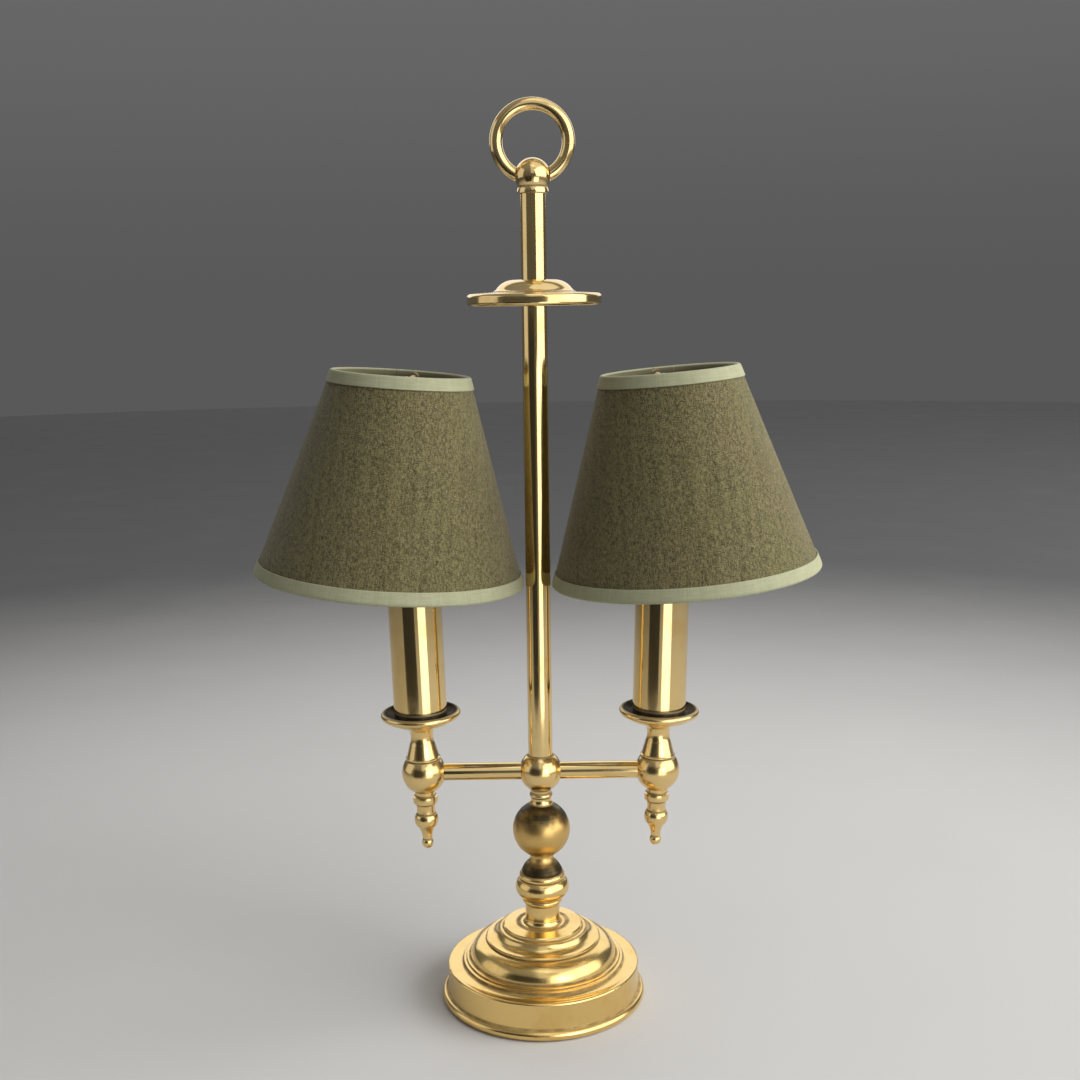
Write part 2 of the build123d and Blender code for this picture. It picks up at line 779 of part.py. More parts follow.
    # Spring clip: two loops that hug the bulb, on legs that hang from eyes round the cross bar
    eye_bore_radius = shade_wire_radius + fit_gap
    leg_top = bar_height - eye_bore_radius - clip_eye_wall / 2
    loop_top = shade_seat + clip_loop_radius
    with BuildPart() as shade_clip:
        for turn in (-1, 1):
            with Locations(across(shade, clip_x, turn * loop_offset, shade_seat)):
                Torus(clip_loop_radius, clip_wire_radius)
            with Locations(across(shade, clip_x, turn * loop_offset, bar_height)):
                Cylinder(eye_bore_radius + clip_eye_wall, clip_eye_length)
            with Locations(shade.offset(loop_top)):
                with Locations((clip_x, turn * loop_offset)):
                    Cylinder(clip_leg_radius, leg_top - loop_top, align=upright)
        with Locations(across(shade, clip_x, 0, bar_height - clip_bridge_drop)):
            Cylinder(clip_wire_radius, 2 * loop_offset)
        with Locations(across(shade, clip_x, 0, bar_height)):
            Cylinder(eye_bore_radius, 2 * bar_half, mode=Mode.SUBTRACT)
    save(shade_clip, f"shade_clip_{word}")

print(f"finial centre z {finial_z:.3f}, arms' axis z {hub_z:.3f}, top {ring_z + ring_radius + ring_wire_radius:.3f}")
print(f"bulb centre x {bulb_x:.3f} z {bulb_z:.3f}, shade foot x {shade_x:.3f} z {shade_z:.3f}")
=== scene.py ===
"""Dresses a two-candle brass table lamp and sets it in a plain studio.

The solids get their metal, glass and plastic finishes. The shades' linen, card and tape and the felt
under the base are modelled here, and each takes the place of its solid.
"""
import json
import logging
import math
from collections.abc import Callable, Iterable, Sequence
from dataclasses import dataclass
from enum import Enum

import bmesh
import bpy
from mathutils import Matrix, Vector, noise


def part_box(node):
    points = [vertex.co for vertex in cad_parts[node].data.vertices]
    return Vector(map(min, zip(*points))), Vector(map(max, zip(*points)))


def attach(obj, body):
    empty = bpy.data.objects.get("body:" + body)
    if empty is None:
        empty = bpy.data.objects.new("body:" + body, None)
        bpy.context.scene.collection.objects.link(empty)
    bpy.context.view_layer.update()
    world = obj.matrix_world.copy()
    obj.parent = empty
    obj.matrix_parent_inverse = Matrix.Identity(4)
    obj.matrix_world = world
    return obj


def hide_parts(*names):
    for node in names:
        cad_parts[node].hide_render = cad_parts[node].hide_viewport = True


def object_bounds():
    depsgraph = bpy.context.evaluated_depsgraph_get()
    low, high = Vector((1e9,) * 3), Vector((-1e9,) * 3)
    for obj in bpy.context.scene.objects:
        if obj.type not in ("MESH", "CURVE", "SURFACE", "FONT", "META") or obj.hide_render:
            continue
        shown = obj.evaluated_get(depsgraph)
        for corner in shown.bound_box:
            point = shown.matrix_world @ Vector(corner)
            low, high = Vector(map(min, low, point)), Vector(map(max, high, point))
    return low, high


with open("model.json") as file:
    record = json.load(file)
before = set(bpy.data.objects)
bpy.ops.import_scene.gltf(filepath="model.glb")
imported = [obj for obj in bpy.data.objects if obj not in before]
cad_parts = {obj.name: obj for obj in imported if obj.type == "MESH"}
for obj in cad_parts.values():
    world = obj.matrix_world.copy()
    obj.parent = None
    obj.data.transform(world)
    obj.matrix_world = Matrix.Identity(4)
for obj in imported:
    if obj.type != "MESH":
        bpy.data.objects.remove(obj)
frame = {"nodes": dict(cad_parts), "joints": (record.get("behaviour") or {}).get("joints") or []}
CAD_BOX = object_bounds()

LOG = logging.getLogger("table_lamp")
FLAT_UV = "flat_cut"
MM = 0.001
NOISE_MIDDLE = 0.5
NOISE_LEVELS = (0.3, 0.7)

Colour = tuple[float, float, float]
Place = tuple[float, float, float]
Pair = tuple[float, float]
GrooveRows = tuple[tuple[float, float, float], ...]
Socket = bpy.types.NodeSocket
Feed = Socket | float | Sequence[float]


class Side(Enum):
    """The lamp's two sides, by the sign of X."""

    LEFT = -1
    RIGHT = 1

    @property
    def word(self) -> str:
        """The side's word at the end of a node's name."""
        return self.name.lower()


class Rim(Enum):
    """The two bound edges of a shade."""

    BOTTOM = "bottom"
    TOP = "top"


class Grain(Enum):
    """How the maker's tool left its fine lines on a metal surface."""

    TURNED = "turned"
    DRAWN = "drawn"


@dataclass(frozen=True)
class AxisFrame:
    """An axis that pieces are turned about or drawn along, leaning in the plane of the arms.

    Attributes:
        origin: A point on the axis, in metres.
        lean: Angle from straight up towards +X, in radians.
    """

    origin: Place = (0.0, 0.0, 0.0)
    lean: float = 0.0

    @property
    def matrix(self) -> Matrix:
        """Placement of the axis in the lamp's frame."""
        return Matrix.Translation(self.origin) @ Matrix.Rotation(self.lean, 4, "Y")


COLUMN_AXIS = AxisFrame()


def joint_axis(name: str) -> AxisFrame:
    """Find the axis that a joint turns about.

    Args:
        name: The joint's name in the record.

    Returns:
        The axis through the joint's own place.
    """
    joint = next(row for row in frame["joints"] if row["name"] == name)
    along = Vector(joint["axis"])
    return AxisFrame(tuple(joint["pos_m"]), math.atan2(along.x, along.z))


class Wiring:
    """Adds nodes to one node tree and joins them."""

    def __init__(self, tree: bpy.types.NodeTree) -> None:
        """Keep the tree that the nodes go into."""
        self.tree = tree

    def feed(self, socket: Socket, value: Feed) -> None:
        """Join a socket to another, or set it to a constant.

        Args:
            socket: The input to feed.
            value: An output socket, a number, a vector or a colour.
        """
        if isinstance(value, Socket):
            self.tree.links.new(value, socket)
        elif socket.type == "RGBA":
            socket.default_value = (*value, 1.0)
        else:
            socket.default_value = value

    def add(
        self, kind: str, feeds: dict[str | int, Feed] | None = None, **settings: object
    ) -> bpy.types.Node:
        """Add one node.

        Args:
            kind: The node's type, without its ShaderNode prefix.
            feeds: What its inputs get, by name or by place.
            settings: The node's own properties.

        Returns:
            The new node.
        """
        node = self.tree.nodes.new(f"ShaderNode{kind}")
        for key, value in settings.items():
            setattr(node, key, value)
        for key, value in (feeds or {}).items():
            self.feed(node.inputs[key], value)
        return node

    def math(self, operation: str, *values: Feed) -> Socket:
        """Work out one number from others.

        Args:
            operation: The Math node's operation.
            values: One to three numbers or sockets.

        Returns:
            The result's socket.
        """
        return self.add("Math", dict(enumerate(values)), operation=operation).outputs[0]

    def spread(
        self, value: Feed, low: Feed, high: Feed, bottom: float = 0.0, top: float = 1.0
    ) -> Socket:
        """Spread a range of numbers smoothly over another.

        Args:
            value: The number to spread.
            low: Where the range starts.
            high: Where the range ends.
            bottom: The result at the start.
            top: The result at the end.

        Returns:
            The result's socket.
        """
        feeds = {"Value": value, "From Min": low, "From Max": high, "To Min": bottom, "To Max": top}
        return self.add("MapRange", feeds, interpolation_type="SMOOTHSTEP").outputs["Result"]

    def mix(self, share: Feed, low: Feed, high: Feed) -> Socket:
        """Mix two colours.

        Args:
            share: How much of the second colour shows.
            low: The first colour.
            high: The second colour.

        Returns:
            The mixed colour's socket.
        """
        node = self.add("Mix", {"Factor": share}, data_type="RGBA")
        colours = [socket for socket in node.inputs if socket.type == "RGBA"]
        self.feed(colours[0], low)
        self.feed(colours[1], high)
        return next(socket for socket in node.outputs if socket.type == "RGBA")

    def noise(self, vector: Feed, scale: Feed, detail: float = 2.0) -> Socket:
        """Add a cloudy pattern.

        Args:
            vector: Where the pattern is read.
            scale: Its features per metre.
            detail: How many finer layers it has.

        Returns:
            The pattern's socket, around one half.
        """
        feeds = {"Vector": vector, "Scale": scale, "Detail": detail}
        return self.add("TexNoise", feeds, noise_dimensions="3D").outputs["Fac"]

    def group(self, tree: bpy.types.NodeTree, **feeds: Feed) -> bpy.types.bpy_prop_collection:
        """Place a shared node group.

        Args:
            tree: The group.
            feeds: What its inputs get; an underscore in a name stands for a space.

        Returns:
            The group's outputs.
        """
        node = self.add("Group", node_tree=tree)
        for key, value in feeds.items():
            self.feed(node.inputs[key.replace("_", " ")], value)
        return node.outputs


class GroupSheet(Wiring):
    """A new node group with named inputs and outputs."""

    def __init__(self, name: str, inputs: dict[str, float | None], outputs: Sequence[str]) -> None:
        """Start an empty group.

        Args:
            name: The group's name.
            inputs: Each input with its usual value, or None for a vector.
            outputs: The names of the numbers that it gives.
        """
        tree = bpy.data.node_groups.new(name, "ShaderNodeTree")
        super().__init__(tree)
        for label, value in inputs.items():
            kind = "NodeSocketVector" if value is None else "NodeSocketFloat"
            socket = tree.interface.new_socket(name=label, in_out="INPUT", socket_type=kind)
            if value is not None:
                socket.default_value = value
        for label in outputs:
            tree.interface.new_socket(name=label, in_out="OUTPUT", socket_type="NodeSocketFloat")
        self.source = tree.nodes.new("NodeGroupInput").outputs
        self.result = tree.nodes.new("NodeGroupOutput").inputs

    def cylinder(self) -> tuple[Socket, Socket]:
        """Turn the group's vector into a distance from the axis and a height along it.

        Returns:
            The sockets of the distance and of the height.
        """
        split = self.add("SeparateXYZ", {0: self.source["Vector"]}).outputs
        squares = [self.math("MULTIPLY", part, part) for part in (split[0], split[1])]
        return self.math("SQRT", self.math("ADD", *squares)), split[2]


class Effects:
    """The surface effects that several finishes share, each one node group.

    Attributes:
        LATHE_FEED: Share of a lathe's lines that cross a flat face, against those up a wall.
        DIE_SQUEEZE: How a pattern is drawn out along the axis to make a die's lines.
        CLOUD_EDGE: Level from which the smallest patches show, before their cover lowers it.
        CLOUD_REACH: How far full cover lowers that level.
        CLOUD_FADE: Width of a patch's soft edge.
        HAIR_TURNS: The two directions of the hairlines, in radians.
        HAIR_SQUEEZE: How a pattern is drawn out to make hairlines.
        HAIR_LEVELS: Levels between which a hairline shows.
        GRIME_CORE: Share of a groove's width that is fully darkened, by grime and, on the drip pan, by
            painted shade.
        THREAD_DRIFT: Wanders of a thread per metre.
        THREAD_MIDDLE: Height of a thread where it lies level.
        THREAD_LIFT: How far a thread rises and dips at its crossings.
        OVER_FADE: Difference in height over which one thread gives way to another.
        STRAND_STEP: Distance in the noise between neighbouring threads.
        WARP_STRETCH: Length of the slubs along the cut's height, against the given one.
        WEFT_STRETCH: Length of the slubs along its width.
    """

    LATHE_FEED: float = 0.8
    DIE_SQUEEZE: Place = (1.0, 1.0, 0.012)
    CLOUD_EDGE: float = 0.72
    CLOUD_REACH: float = 0.5
    CLOUD_FADE: float = 0.22
    HAIR_TURNS: tuple[Place, Place] = ((0.4, 0.9, 0.3), (-0.7, 0.2, -0.8))
    HAIR_SQUEEZE: Place = (1.0, 1.0, 0.03)
    HAIR_LEVELS: Pair = (0.66, 0.74)
    GRIME_CORE: float = 0.25
    THREAD_DRIFT: float = 260.0
    THREAD_MIDDLE: float = 0.55
    THREAD_LIFT: float = 0.45
    OVER_FADE: float = 0.1
    STRAND_STEP: float = 3.7
    WARP_STRETCH: float = 4.0
    WEFT_STRETCH: float = 3.0

    def __init__(self) -> None:
        """Build every group once."""
        self.turned = self._turned_lines()
        self.drawn = self._drawn_lines()
        self.cloud = self._cloud()
        self.hairlines = self._hairlines()
        self.crease = self._crease()
        self.weave = self._weave()

    def _turned_lines(self) -> bpy.types.NodeTree:
        """Make fine lines that run round the axis, as a lathe leaves them.

        Returns:
            The group.
        """
        sheet = GroupSheet("turned_lines", {"Vector": None, "Fineness": 4000.0}, ["Height"])
        radius, along = sheet.cylinder()
        run = sheet.math("MULTIPLY_ADD", radius, self.LATHE_FEED, along)
        feeds = {"W": run, "Scale": sheet.source["Fineness"], "Detail": 2.0}
        lines = sheet.add("TexNoise", feeds, noise_dimensions="1D")
        sheet.feed(sheet.result["Height"], lines.outputs["Fac"])
        return sheet.tree

    def _drawn_lines(self) -> bpy.types.NodeTree:
        """Make fine lines that run along the axis, as a drawing die leaves them.

        Returns:
            The group.
        """
        sheet = GroupSheet("drawn_lines", {"Vector": None, "Fineness": 2500.0}, ["Height"])
        feeds = {0: sheet.source["Vector"], 1: self.DIE_SQUEEZE}
        squeeze = sheet.add("VectorMath", feeds, operation="MULTIPLY")
        lines = sheet.noise(squeeze.outputs[0], sheet.source["Fineness"], detail=1.0)
        sheet.feed(sheet.result["Height"], lines)
        return sheet.tree

    def _cloud(self) -> bpy.types.NodeTree:
        """Make soft patches that cover a given share of the surface.

        Returns:
            The group.
        """
        sheet = GroupSheet("cloud", {"Vector": None, "Size": 0.01, "Cover": 0.4}, ["Mask"])
        scale = sheet.math("DIVIDE", 1.0, sheet.source["Size"])
        value = sheet.noise(sheet.source["Vector"], scale, detail=4.0)
        lowered = sheet.math("MULTIPLY", sheet.source["Cover"], self.CLOUD_REACH)
        start = sheet.math("SUBTRACT", self.CLOUD_EDGE, lowered)
        end = sheet.math("ADD", start, self.CLOUD_FADE)
        sheet.feed(sheet.result["Mask"], sheet.spread(value, start, end))
        return sheet.tree

    def _hairlines(self) -> bpy.types.NodeTree:
        """Make the short hairline scratches that dusting leaves, in two directions.

        Returns:
            The group.
        """
        sheet = GroupSheet("hairlines", {"Vector": None, "Fineness": 700.0}, ["Mask"])
        masks = []
        for turn in self.HAIR_TURNS:
            feeds = {"Vector": sheet.source["Vector"], "Rotation": turn, "Scale": self.HAIR_SQUEEZE}
            turned = sheet.add("Mapping", feeds).outputs[0]
            lines = sheet.noise(turned, sheet.source["Fineness"], detail=1.0)
            masks.append(sheet.spread(lines, *self.HAIR_LEVELS))
        sheet.feed(sheet.result["Mask"], sheet.math("MAXIMUM", *masks))
        return sheet.tree

    def _crease(self) -> bpy.types.NodeTree:
        """Make the darkening in a groove round the axis: grime, and painted shade over the drip pan's
        hollow.

        Returns:
            The group.
        """
        inputs = {"Vector": None, "Radius": 0.01, "Height": 0.0, "Width": 0.001}
        sheet = GroupSheet("crease", inputs, ["Mask"])
        radius, along = sheet.cylinder()
        out = sheet.math("SUBTRACT", radius, sheet.source["Radius"])
        rise = sheet.math("SUBTRACT", along, sheet.source["Height"])
        square = sheet.math("MULTIPLY_ADD", out, out, sheet.math("MULTIPLY", rise, rise))
        away = sheet.math("DIVIDE", sheet.math("SQRT", square), sheet.source["Width"])
        sheet.feed(sheet.result["Mask"], sheet.spread(away, self.GRIME_CORE, 1.0, 1.0, 0.0))
        return sheet.tree

    def _weave(self) -> bpy.types.NodeTree:
        """Make a plain weave of slubby threads on a flat cut of cloth, measured in metres.

        Returns:
            The group.
        """
        inputs = {"Vector": None, "Pitch": 0.0005, "Wander": 0.5, "Slub": 0.008}
        sheet = GroupSheet("plain_weave", inputs, ["Height", "Over", "Warp Tone", "Weft Tone"])
        feeds = {"Vector": sheet.source["Vector"], "Scale": self.THREAD_DRIFT, "Detail": 2.0}
        drift = sheet.add("TexNoise", feeds).outputs["Color"]
        middle = (NOISE_MIDDLE,) * 3
        centred = sheet.add("VectorMath", {0: drift, 1: middle}, operation="SUBTRACT")
        reach = sheet.math("MULTIPLY", sheet.source["Wander"], sheet.source["Pitch"])
        step = sheet.add("VectorMath", {0: centred.outputs[0], "Scale": reach}, operation="SCALE")
        moved = sheet.add("VectorMath", {0: sheet.source["Vector"], 1: step.outputs[0]}, operation="ADD")
        spots = sheet.add("SeparateXYZ", {0: moved.outputs[0]}).outputs
        counts = [sheet.math("DIVIDE", spots[axis], sheet.source["Pitch"]) for axis in (0, 1)]
        waves = [sheet.math("SINE", sheet.math("MULTIPLY", count, math.pi)) for count in counts]
        crossing = sheet.math("MULTIPLY", *waves)
        heights = []
        for wave, lift in zip(waves, (self.THREAD_LIFT, -self.THREAD_LIFT)):
            rise = sheet.math("MULTIPLY_ADD", crossing, lift, self.THREAD_MIDDLE)
            heights.append(sheet.math("MULTIPLY", sheet.math("ABSOLUTE", wave), rise))
        warp, weft = heights
        sheet.feed(sheet.result["Height"], sheet.math("MAXIMUM", warp, weft))
        over = sheet.spread(sheet.math("SUBTRACT", warp, weft), -self.OVER_FADE, self.OVER_FADE)
        sheet.feed(sheet.result["Over"], over)
        tones = (("Warp Tone", 0, 1, self.WARP_STRETCH), ("Weft Tone", 1, 0, self.WEFT_STRETCH))
        for label, across, along, stretch in tones:
            strand = sheet.math("MULTIPLY", sheet.math("FLOOR", counts[across]), self.STRAND_STEP)
            slub = sheet.math("MULTIPLY", sheet.source["Slub"], stretch)
            run = sheet.math("DIVIDE", spots[along], slub)
            line = sheet.add("CombineXYZ", {0: strand, 1: run, 2: float(across)}).outputs[0]
            sheet.feed(sheet.result[label], sheet.noise(line, 1.0))
        return sheet.tree


class MaterialSheet(Wiring):
    """A new material with one Principled shader."""

    def __init__(self, name: str) -> None:
        """Start the material and keep its shader."""
        self.material = bpy.data.materials.new(name)
        self.material.use_nodes = True
        super().__init__(self.material.node_tree)
        self.shader = self.tree.nodes["Principled BSDF"]

    def place(self, axis: AxisFrame) -> Socket:
        """Read places on the piece in an axis's own frame.

        Args:
            axis: The axis that the pattern follows.

        Returns:
            The socket of the places, in metres.
        """
        spot = self.add("TexCoord").outputs["Object"]
        feeds = {"Vector": spot, "Location": axis.origin, "Rotation": (0.0, axis.lean, 0.0)}
        return self.add("Mapping", feeds, vector_type="TEXTURE").outputs[0]

    def cut(self) -> Socket:
        """Read places on the cloth's flat cut, in metres."""
        return self.add("UVMap", uv_map=FLAT_UV).outputs[0]

    def shade(self, **feeds: Feed) -> None:
        """Feed the shader.

        Args:
            feeds: What its inputs get; an underscore in a name stands for a space.
        """
        for key, value in feeds.items():
            self.feed(self.shader.inputs[key.replace("_", " ")], value)

    def relief(self, height: Feed, depth: float) -> None:
        """Give the surface a fine relief.

        Args:
            height: The pattern of the relief.
            depth: Its depth in metres.
        """
        bump = self.add("Bump", {"Height": height, "Distance": depth})
        self.shade(Normal=bump.outputs[0])


@dataclass(frozen=True)
class Crease:
    """A groove round the axis that holds grime; over the drip pan's hollow it is painted shade.

    Attributes:
        radius: Distance from the axis, in metres.
        height: Height in the axis's frame, in metres.
        width: How far the grime reaches, in metres.
    """

    radius: float
    height: float
    width: float


@dataclass(frozen=True)
class Patches:
    """Soft patches of another tone on a surface.

    Attributes:
        size: Their size in metres.
        cover: The share of the surface that they lie on.
        tint: How far they take on their own colour.
        dulling: How much rougher they are.
    """

    size: float
    cover: float
    tint: float = 1.0
    dulling: float = 0.0

    def mask(self, sheet: MaterialSheet, effects: Effects, here: Socket) -> Socket:
        """Show where the patches lie."""
        return sheet.group(effects.cloud, Vector=here, Size=self.size, Cover=self.cover)["Mask"]


@dataclass(frozen=True)
class Brass:
    """Polished brass with a warm lacquer, faint tool lines, handling marks and grime in its grooves; on the
    drip pan that darkening is painted shade.

    Attributes:
        grain: How its tool lines run.
        clean: Its colour where it is bright.
        warm: Its colour where the lacquer has warmed.
        grime: The colour of the grime in its grooves, and of the painted shade in the drip pan's hollow.
        polish: Its roughness where it is bright.
        line_depth: Depth of the tool lines in metres.
        soil: How fully grime, and on the drip pan painted shade, covers a groove.
        patchy: How much of the grime and painted shade is broken up in places.
        bloom: The patches where the lacquer has warmed.
        marks: The marks that hands leave.
        hair_dulling: How much rougher a hairline scratch is.
        hair_cut: Depth of a hairline, against the tool lines.
        lacquer: Weight of the lacquer's coat.
        lacquer_rough: Roughness of that coat.
        grime_dulling: How much rougher grime is.
        grime_veil: How much of the metal's look grime and painted shade take away.
        wear_count: Broken places in the grime and painted shade per metre.
        wear_levels: Levels between which the grime is worn.
    """

    grain: Grain = Grain.TURNED
    clean: Colour = (0.85, 0.635, 0.29)
    warm: Colour = (0.78, 0.52, 0.19)
    grime: Colour = (0.11, 0.07, 0.025)
    polish: float = 0.13
    line_depth: float = 2.2e-6
    soil: float = 0.8
    patchy: float = 0.4
    bloom: Patches = Patches(14 * MM, 0.5, tint=0.55, dulling=0.035)
    marks: Patches = Patches(3.5 * MM, 0.3, tint=0.06, dulling=0.04)
    hair_dulling: float = 0.05
    hair_cut: float = 0.6
    lacquer: float = 0.12
    lacquer_rough: float = 0.08
    grime_dulling: float = 0.5
    grime_veil: float = 0.7
    wear_count: float = 160.0
    wear_levels: Pair = (0.3, 0.65)

    def build(
        self, effects: Effects, name: str, axis: AxisFrame, creases: Iterable[Crease] = ()
    ) -> bpy.types.Material:
        """Make the finish for one piece.

        Args:
            effects: The shared node groups.
            name: The material's name.
            axis: The axis that the piece was turned about or drawn along.
            creases: The grooves that hold grime, and on the drip pan its painted shade.

        Returns:
            The material.
        """
        sheet = MaterialSheet(name)
        here = sheet.place(axis)
        tool = effects.turned if self.grain is Grain.TURNED else effects.drawn
        lines = sheet.group(tool, Vector=here)["Height"]
        bloom = self.bloom.mask(sheet, effects, here)
        marks = self.marks.mask(sheet, effects, here)
        hairs = sheet.group(effects.hairlines, Vector=here)["Mask"]
        dirt_and_shade = self._dirt(sheet, effects, here, creases)
        colour = sheet.mix(sheet.math("MULTIPLY", bloom, self.bloom.tint), self.clean, self.warm)
        colour = sheet.mix(sheet.math("MULTIPLY", marks, self.marks.tint), colour, self.grime)
        rough = sheet.math("MULTIPLY_ADD", bloom, self.bloom.dulling, self.polish)
        rough = sheet.math("MULTIPLY_ADD", marks, self.marks.dulling, rough)
        rough = sheet.math("MULTIPLY_ADD", hairs, self.hair_dulling, rough)
        metal = 1.0
        lacquer = self.lacquer
        if dirt_and_shade is not None:
            # Grime darkens the grooves; on the drip pan the same darkening is painted shade.
            cover = sheet.math("MULTIPLY", dirt_and_shade, self.soil)
            colour = sheet.mix(cover, colour, self.grime)
            rough = sheet.math("MULTIPLY_ADD", cover, self.grime_dulling, rough)
            metal = sheet.math("MULTIPLY_ADD", cover, -self.grime_veil, metal)
            lacquer = sheet.math("MULTIPLY_ADD", cover, -lacquer, lacquer)
        sheet.shade(
            Base_Color=colour,
            Roughness=rough,
            Metallic=metal,
            Coat_Weight=lacquer,
            Coat_Roughness=self.lacquer_rough,
        )
        sheet.relief(sheet.math("MULTIPLY_ADD", hairs, -self.hair_cut, lines), self.line_depth)
        return sheet.material

    def _dirt(
        self, sheet: MaterialSheet, effects: Effects, here: Socket, creases: Iterable[Crease]
    ) -> Socket | None:
        """Gather the grime and painted shade of every groove, broken up in places.

        Args:
            sheet: The material's sheet.
            effects: The shared node groups.
            here: Places in the axis's frame.
            creases: The grooves.

        Returns:
            The socket of the grime and painted shade, or None where the piece has no groove.
        """
        dirt_and_shade = None
        for row in creases:
            feeds = {"Radius": row.radius, "Height": row.height, "Width": row.width}
            mask = sheet.group(effects.crease, Vector=here, **feeds)["Mask"]
            dirt_and_shade = mask if dirt_and_shade is None else sheet.math("MAXIMUM", dirt_and_shade, mask)
        if dirt_and_shade is None:
            return None
        spots = sheet.noise(here, self.wear_count)
        wear = sheet.spread(spots, *self.wear_levels, 1.0 - self.patchy, 1.0)
        return sheet.math("MULTIPLY", dirt_and_shade, wear)


@dataclass(frozen=True)
class AgedBrass:
    """Satin brass, rubbed bright at one end and darker towards the other: partly patina and partly a
    painted dark reflection.

    Attributes:
        bright: Its colour where it is rubbed.
        dark: Its colour at the dark end, aged and painted as a dark reflection.
        satin: Its roughness where it is bright.
        line_count: Tool lines per metre.
        line_depth: Depth of the tool lines in metres.
        patch_count: Patches of age per metre.
        patch_levels: Levels between which a patch thins.
        thin_age: How dark the thin patches are.
        raggedness: How far the patches fray the edge of the dark, against the edge's width.
        least_age: How dark the rubbed end still is.
        rub_levels: Levels of the tool lines between which they are rubbed.
        rub_range: How much lighter the lines get between those levels.
        age_dulling: How much rougher the dark is.
        patch_dulling: How much the roughness varies with the patches.
    """

    bright: Colour = (0.78, 0.52, 0.18)
    dark: Colour = (0.06, 0.044, 0.023)
    satin: float = 0.33
    line_count: float = 2600.0
    line_depth: float = 3e-6
    patch_count: float = 150.0
    patch_levels: Pair = (0.25, 0.6)
    thin_age: float = 0.8
    raggedness: float = 1.2
    least_age: float = 0.12
    rub_levels: Pair = (0.35, 0.75)
    rub_range: Pair = (-0.04, 0.05)
    age_dulling: float = 0.1
    patch_dulling: float = 0.14

    def build(
        self, effects: Effects, name: str, axis: AxisFrame, worn: float, aged: float
    ) -> bpy.types.Material:
        """Make the finish for one piece.

        Args:
            effects: The shared node groups.
            name: The material's name.
            axis: The axis that the piece was turned about.
            worn: Height in the axis's frame up to which the brass is bright.
            aged: Height from which it is fully dark.

        Returns:
            The material.
        """
        sheet = MaterialSheet(name)
        here = sheet.place(axis)
        lines = sheet.group(effects.turned, Vector=here, Fineness=self.line_count)["Height"]
        patches = sheet.noise(here, self.patch_count, detail=4.0)
        uneven = sheet.math("SUBTRACT", patches, NOISE_MIDDLE)
        along = sheet.add("SeparateXYZ", {0: here}).outputs[2]
        # Darker by height towards one end, as patina and as a painted dark reflection.
        ragged = sheet.math("MULTIPLY_ADD", uneven, self.raggedness * abs(aged - worn), along)
        darkening = sheet.spread(ragged, worn, aged, self.least_age, 1.0)
        thinned = sheet.spread(patches, *self.patch_levels, self.thin_age, 1.0)
        darkening = sheet.math("MULTIPLY", darkening, thinned)
        darkening = sheet.math("SUBTRACT", darkening, sheet.spread(lines, *self.rub_levels, *self.rub_range))
        rough = sheet.math("MULTIPLY_ADD", darkening, self.age_dulling, self.satin)
        rough = sheet.math("MULTIPLY_ADD", uneven, self.patch_dulling, rough)
        colour = sheet.mix(darkening, self.bright, self.dark)
        sheet.shade(Base_Color=colour, Roughness=rough, Metallic=1.0)
        sheet.relief(lines, self.line_depth)
        return sheet.material


@dataclass(frozen=True)
class WorkedMetal:
    """Plain working metal, such as zinc-plated thread, cap shell, iron or shade wire.

    Attributes:
        base: Its colour where it is clean.
        stain: Its colour where it is dull.
        rough: Its mean roughness.
        thread: Spacing of a thread's turns in metres, or zero for none.
        pits: Depth of its cast or rolled skin in metres.
        stains: The dull patches.
        skin_count: Pits of the skin per metre.
        skin_share: Depth of that skin on a thread, against the thread's own.
    """

    base: Colour
    stain: Colour
    rough: float
    thread: float = 0.0
    pits: float = 4e-6
    stains: Patches = Patches(5 * MM, 0.5, dulling=0.12)
    skin_count: float = 1500.0
    skin_share: float = 0.02

    def build(self, effects: Effects, name: str, axis: AxisFrame) -> bpy.types.Material:
        """Make the finish for one piece.

        Args:
            effects: The shared node groups.
            name: The material's name.
            axis: The axis that a thread runs round.

        Returns:
            The material.
        """
        sheet = MaterialSheet(name)
        here = sheet.place(axis)
        dull = self.stains.mask(sheet, effects, here)
        skin = sheet.noise(here, self.skin_count, detail=4.0)
        colour = sheet.mix(dull, self.base, self.stain)
        rough = sheet.math("MULTIPLY_ADD", dull, self.stains.dulling, self.rough)
        sheet.shade(Base_Color=colour, Roughness=rough, Metallic=1.0)
        if self.thread:
            along = sheet.add("SeparateXYZ", {0: here}).outputs[2]
            turns = sheet.math("PINGPONG", sheet.math("DIVIDE", along, self.thread), 0.5)
            sheet.relief(sheet.math("MULTIPLY_ADD", skin, self.skin_share, turns), self.thread)
        else:
            sheet.relief(skin, self.pits)
        return sheet.material


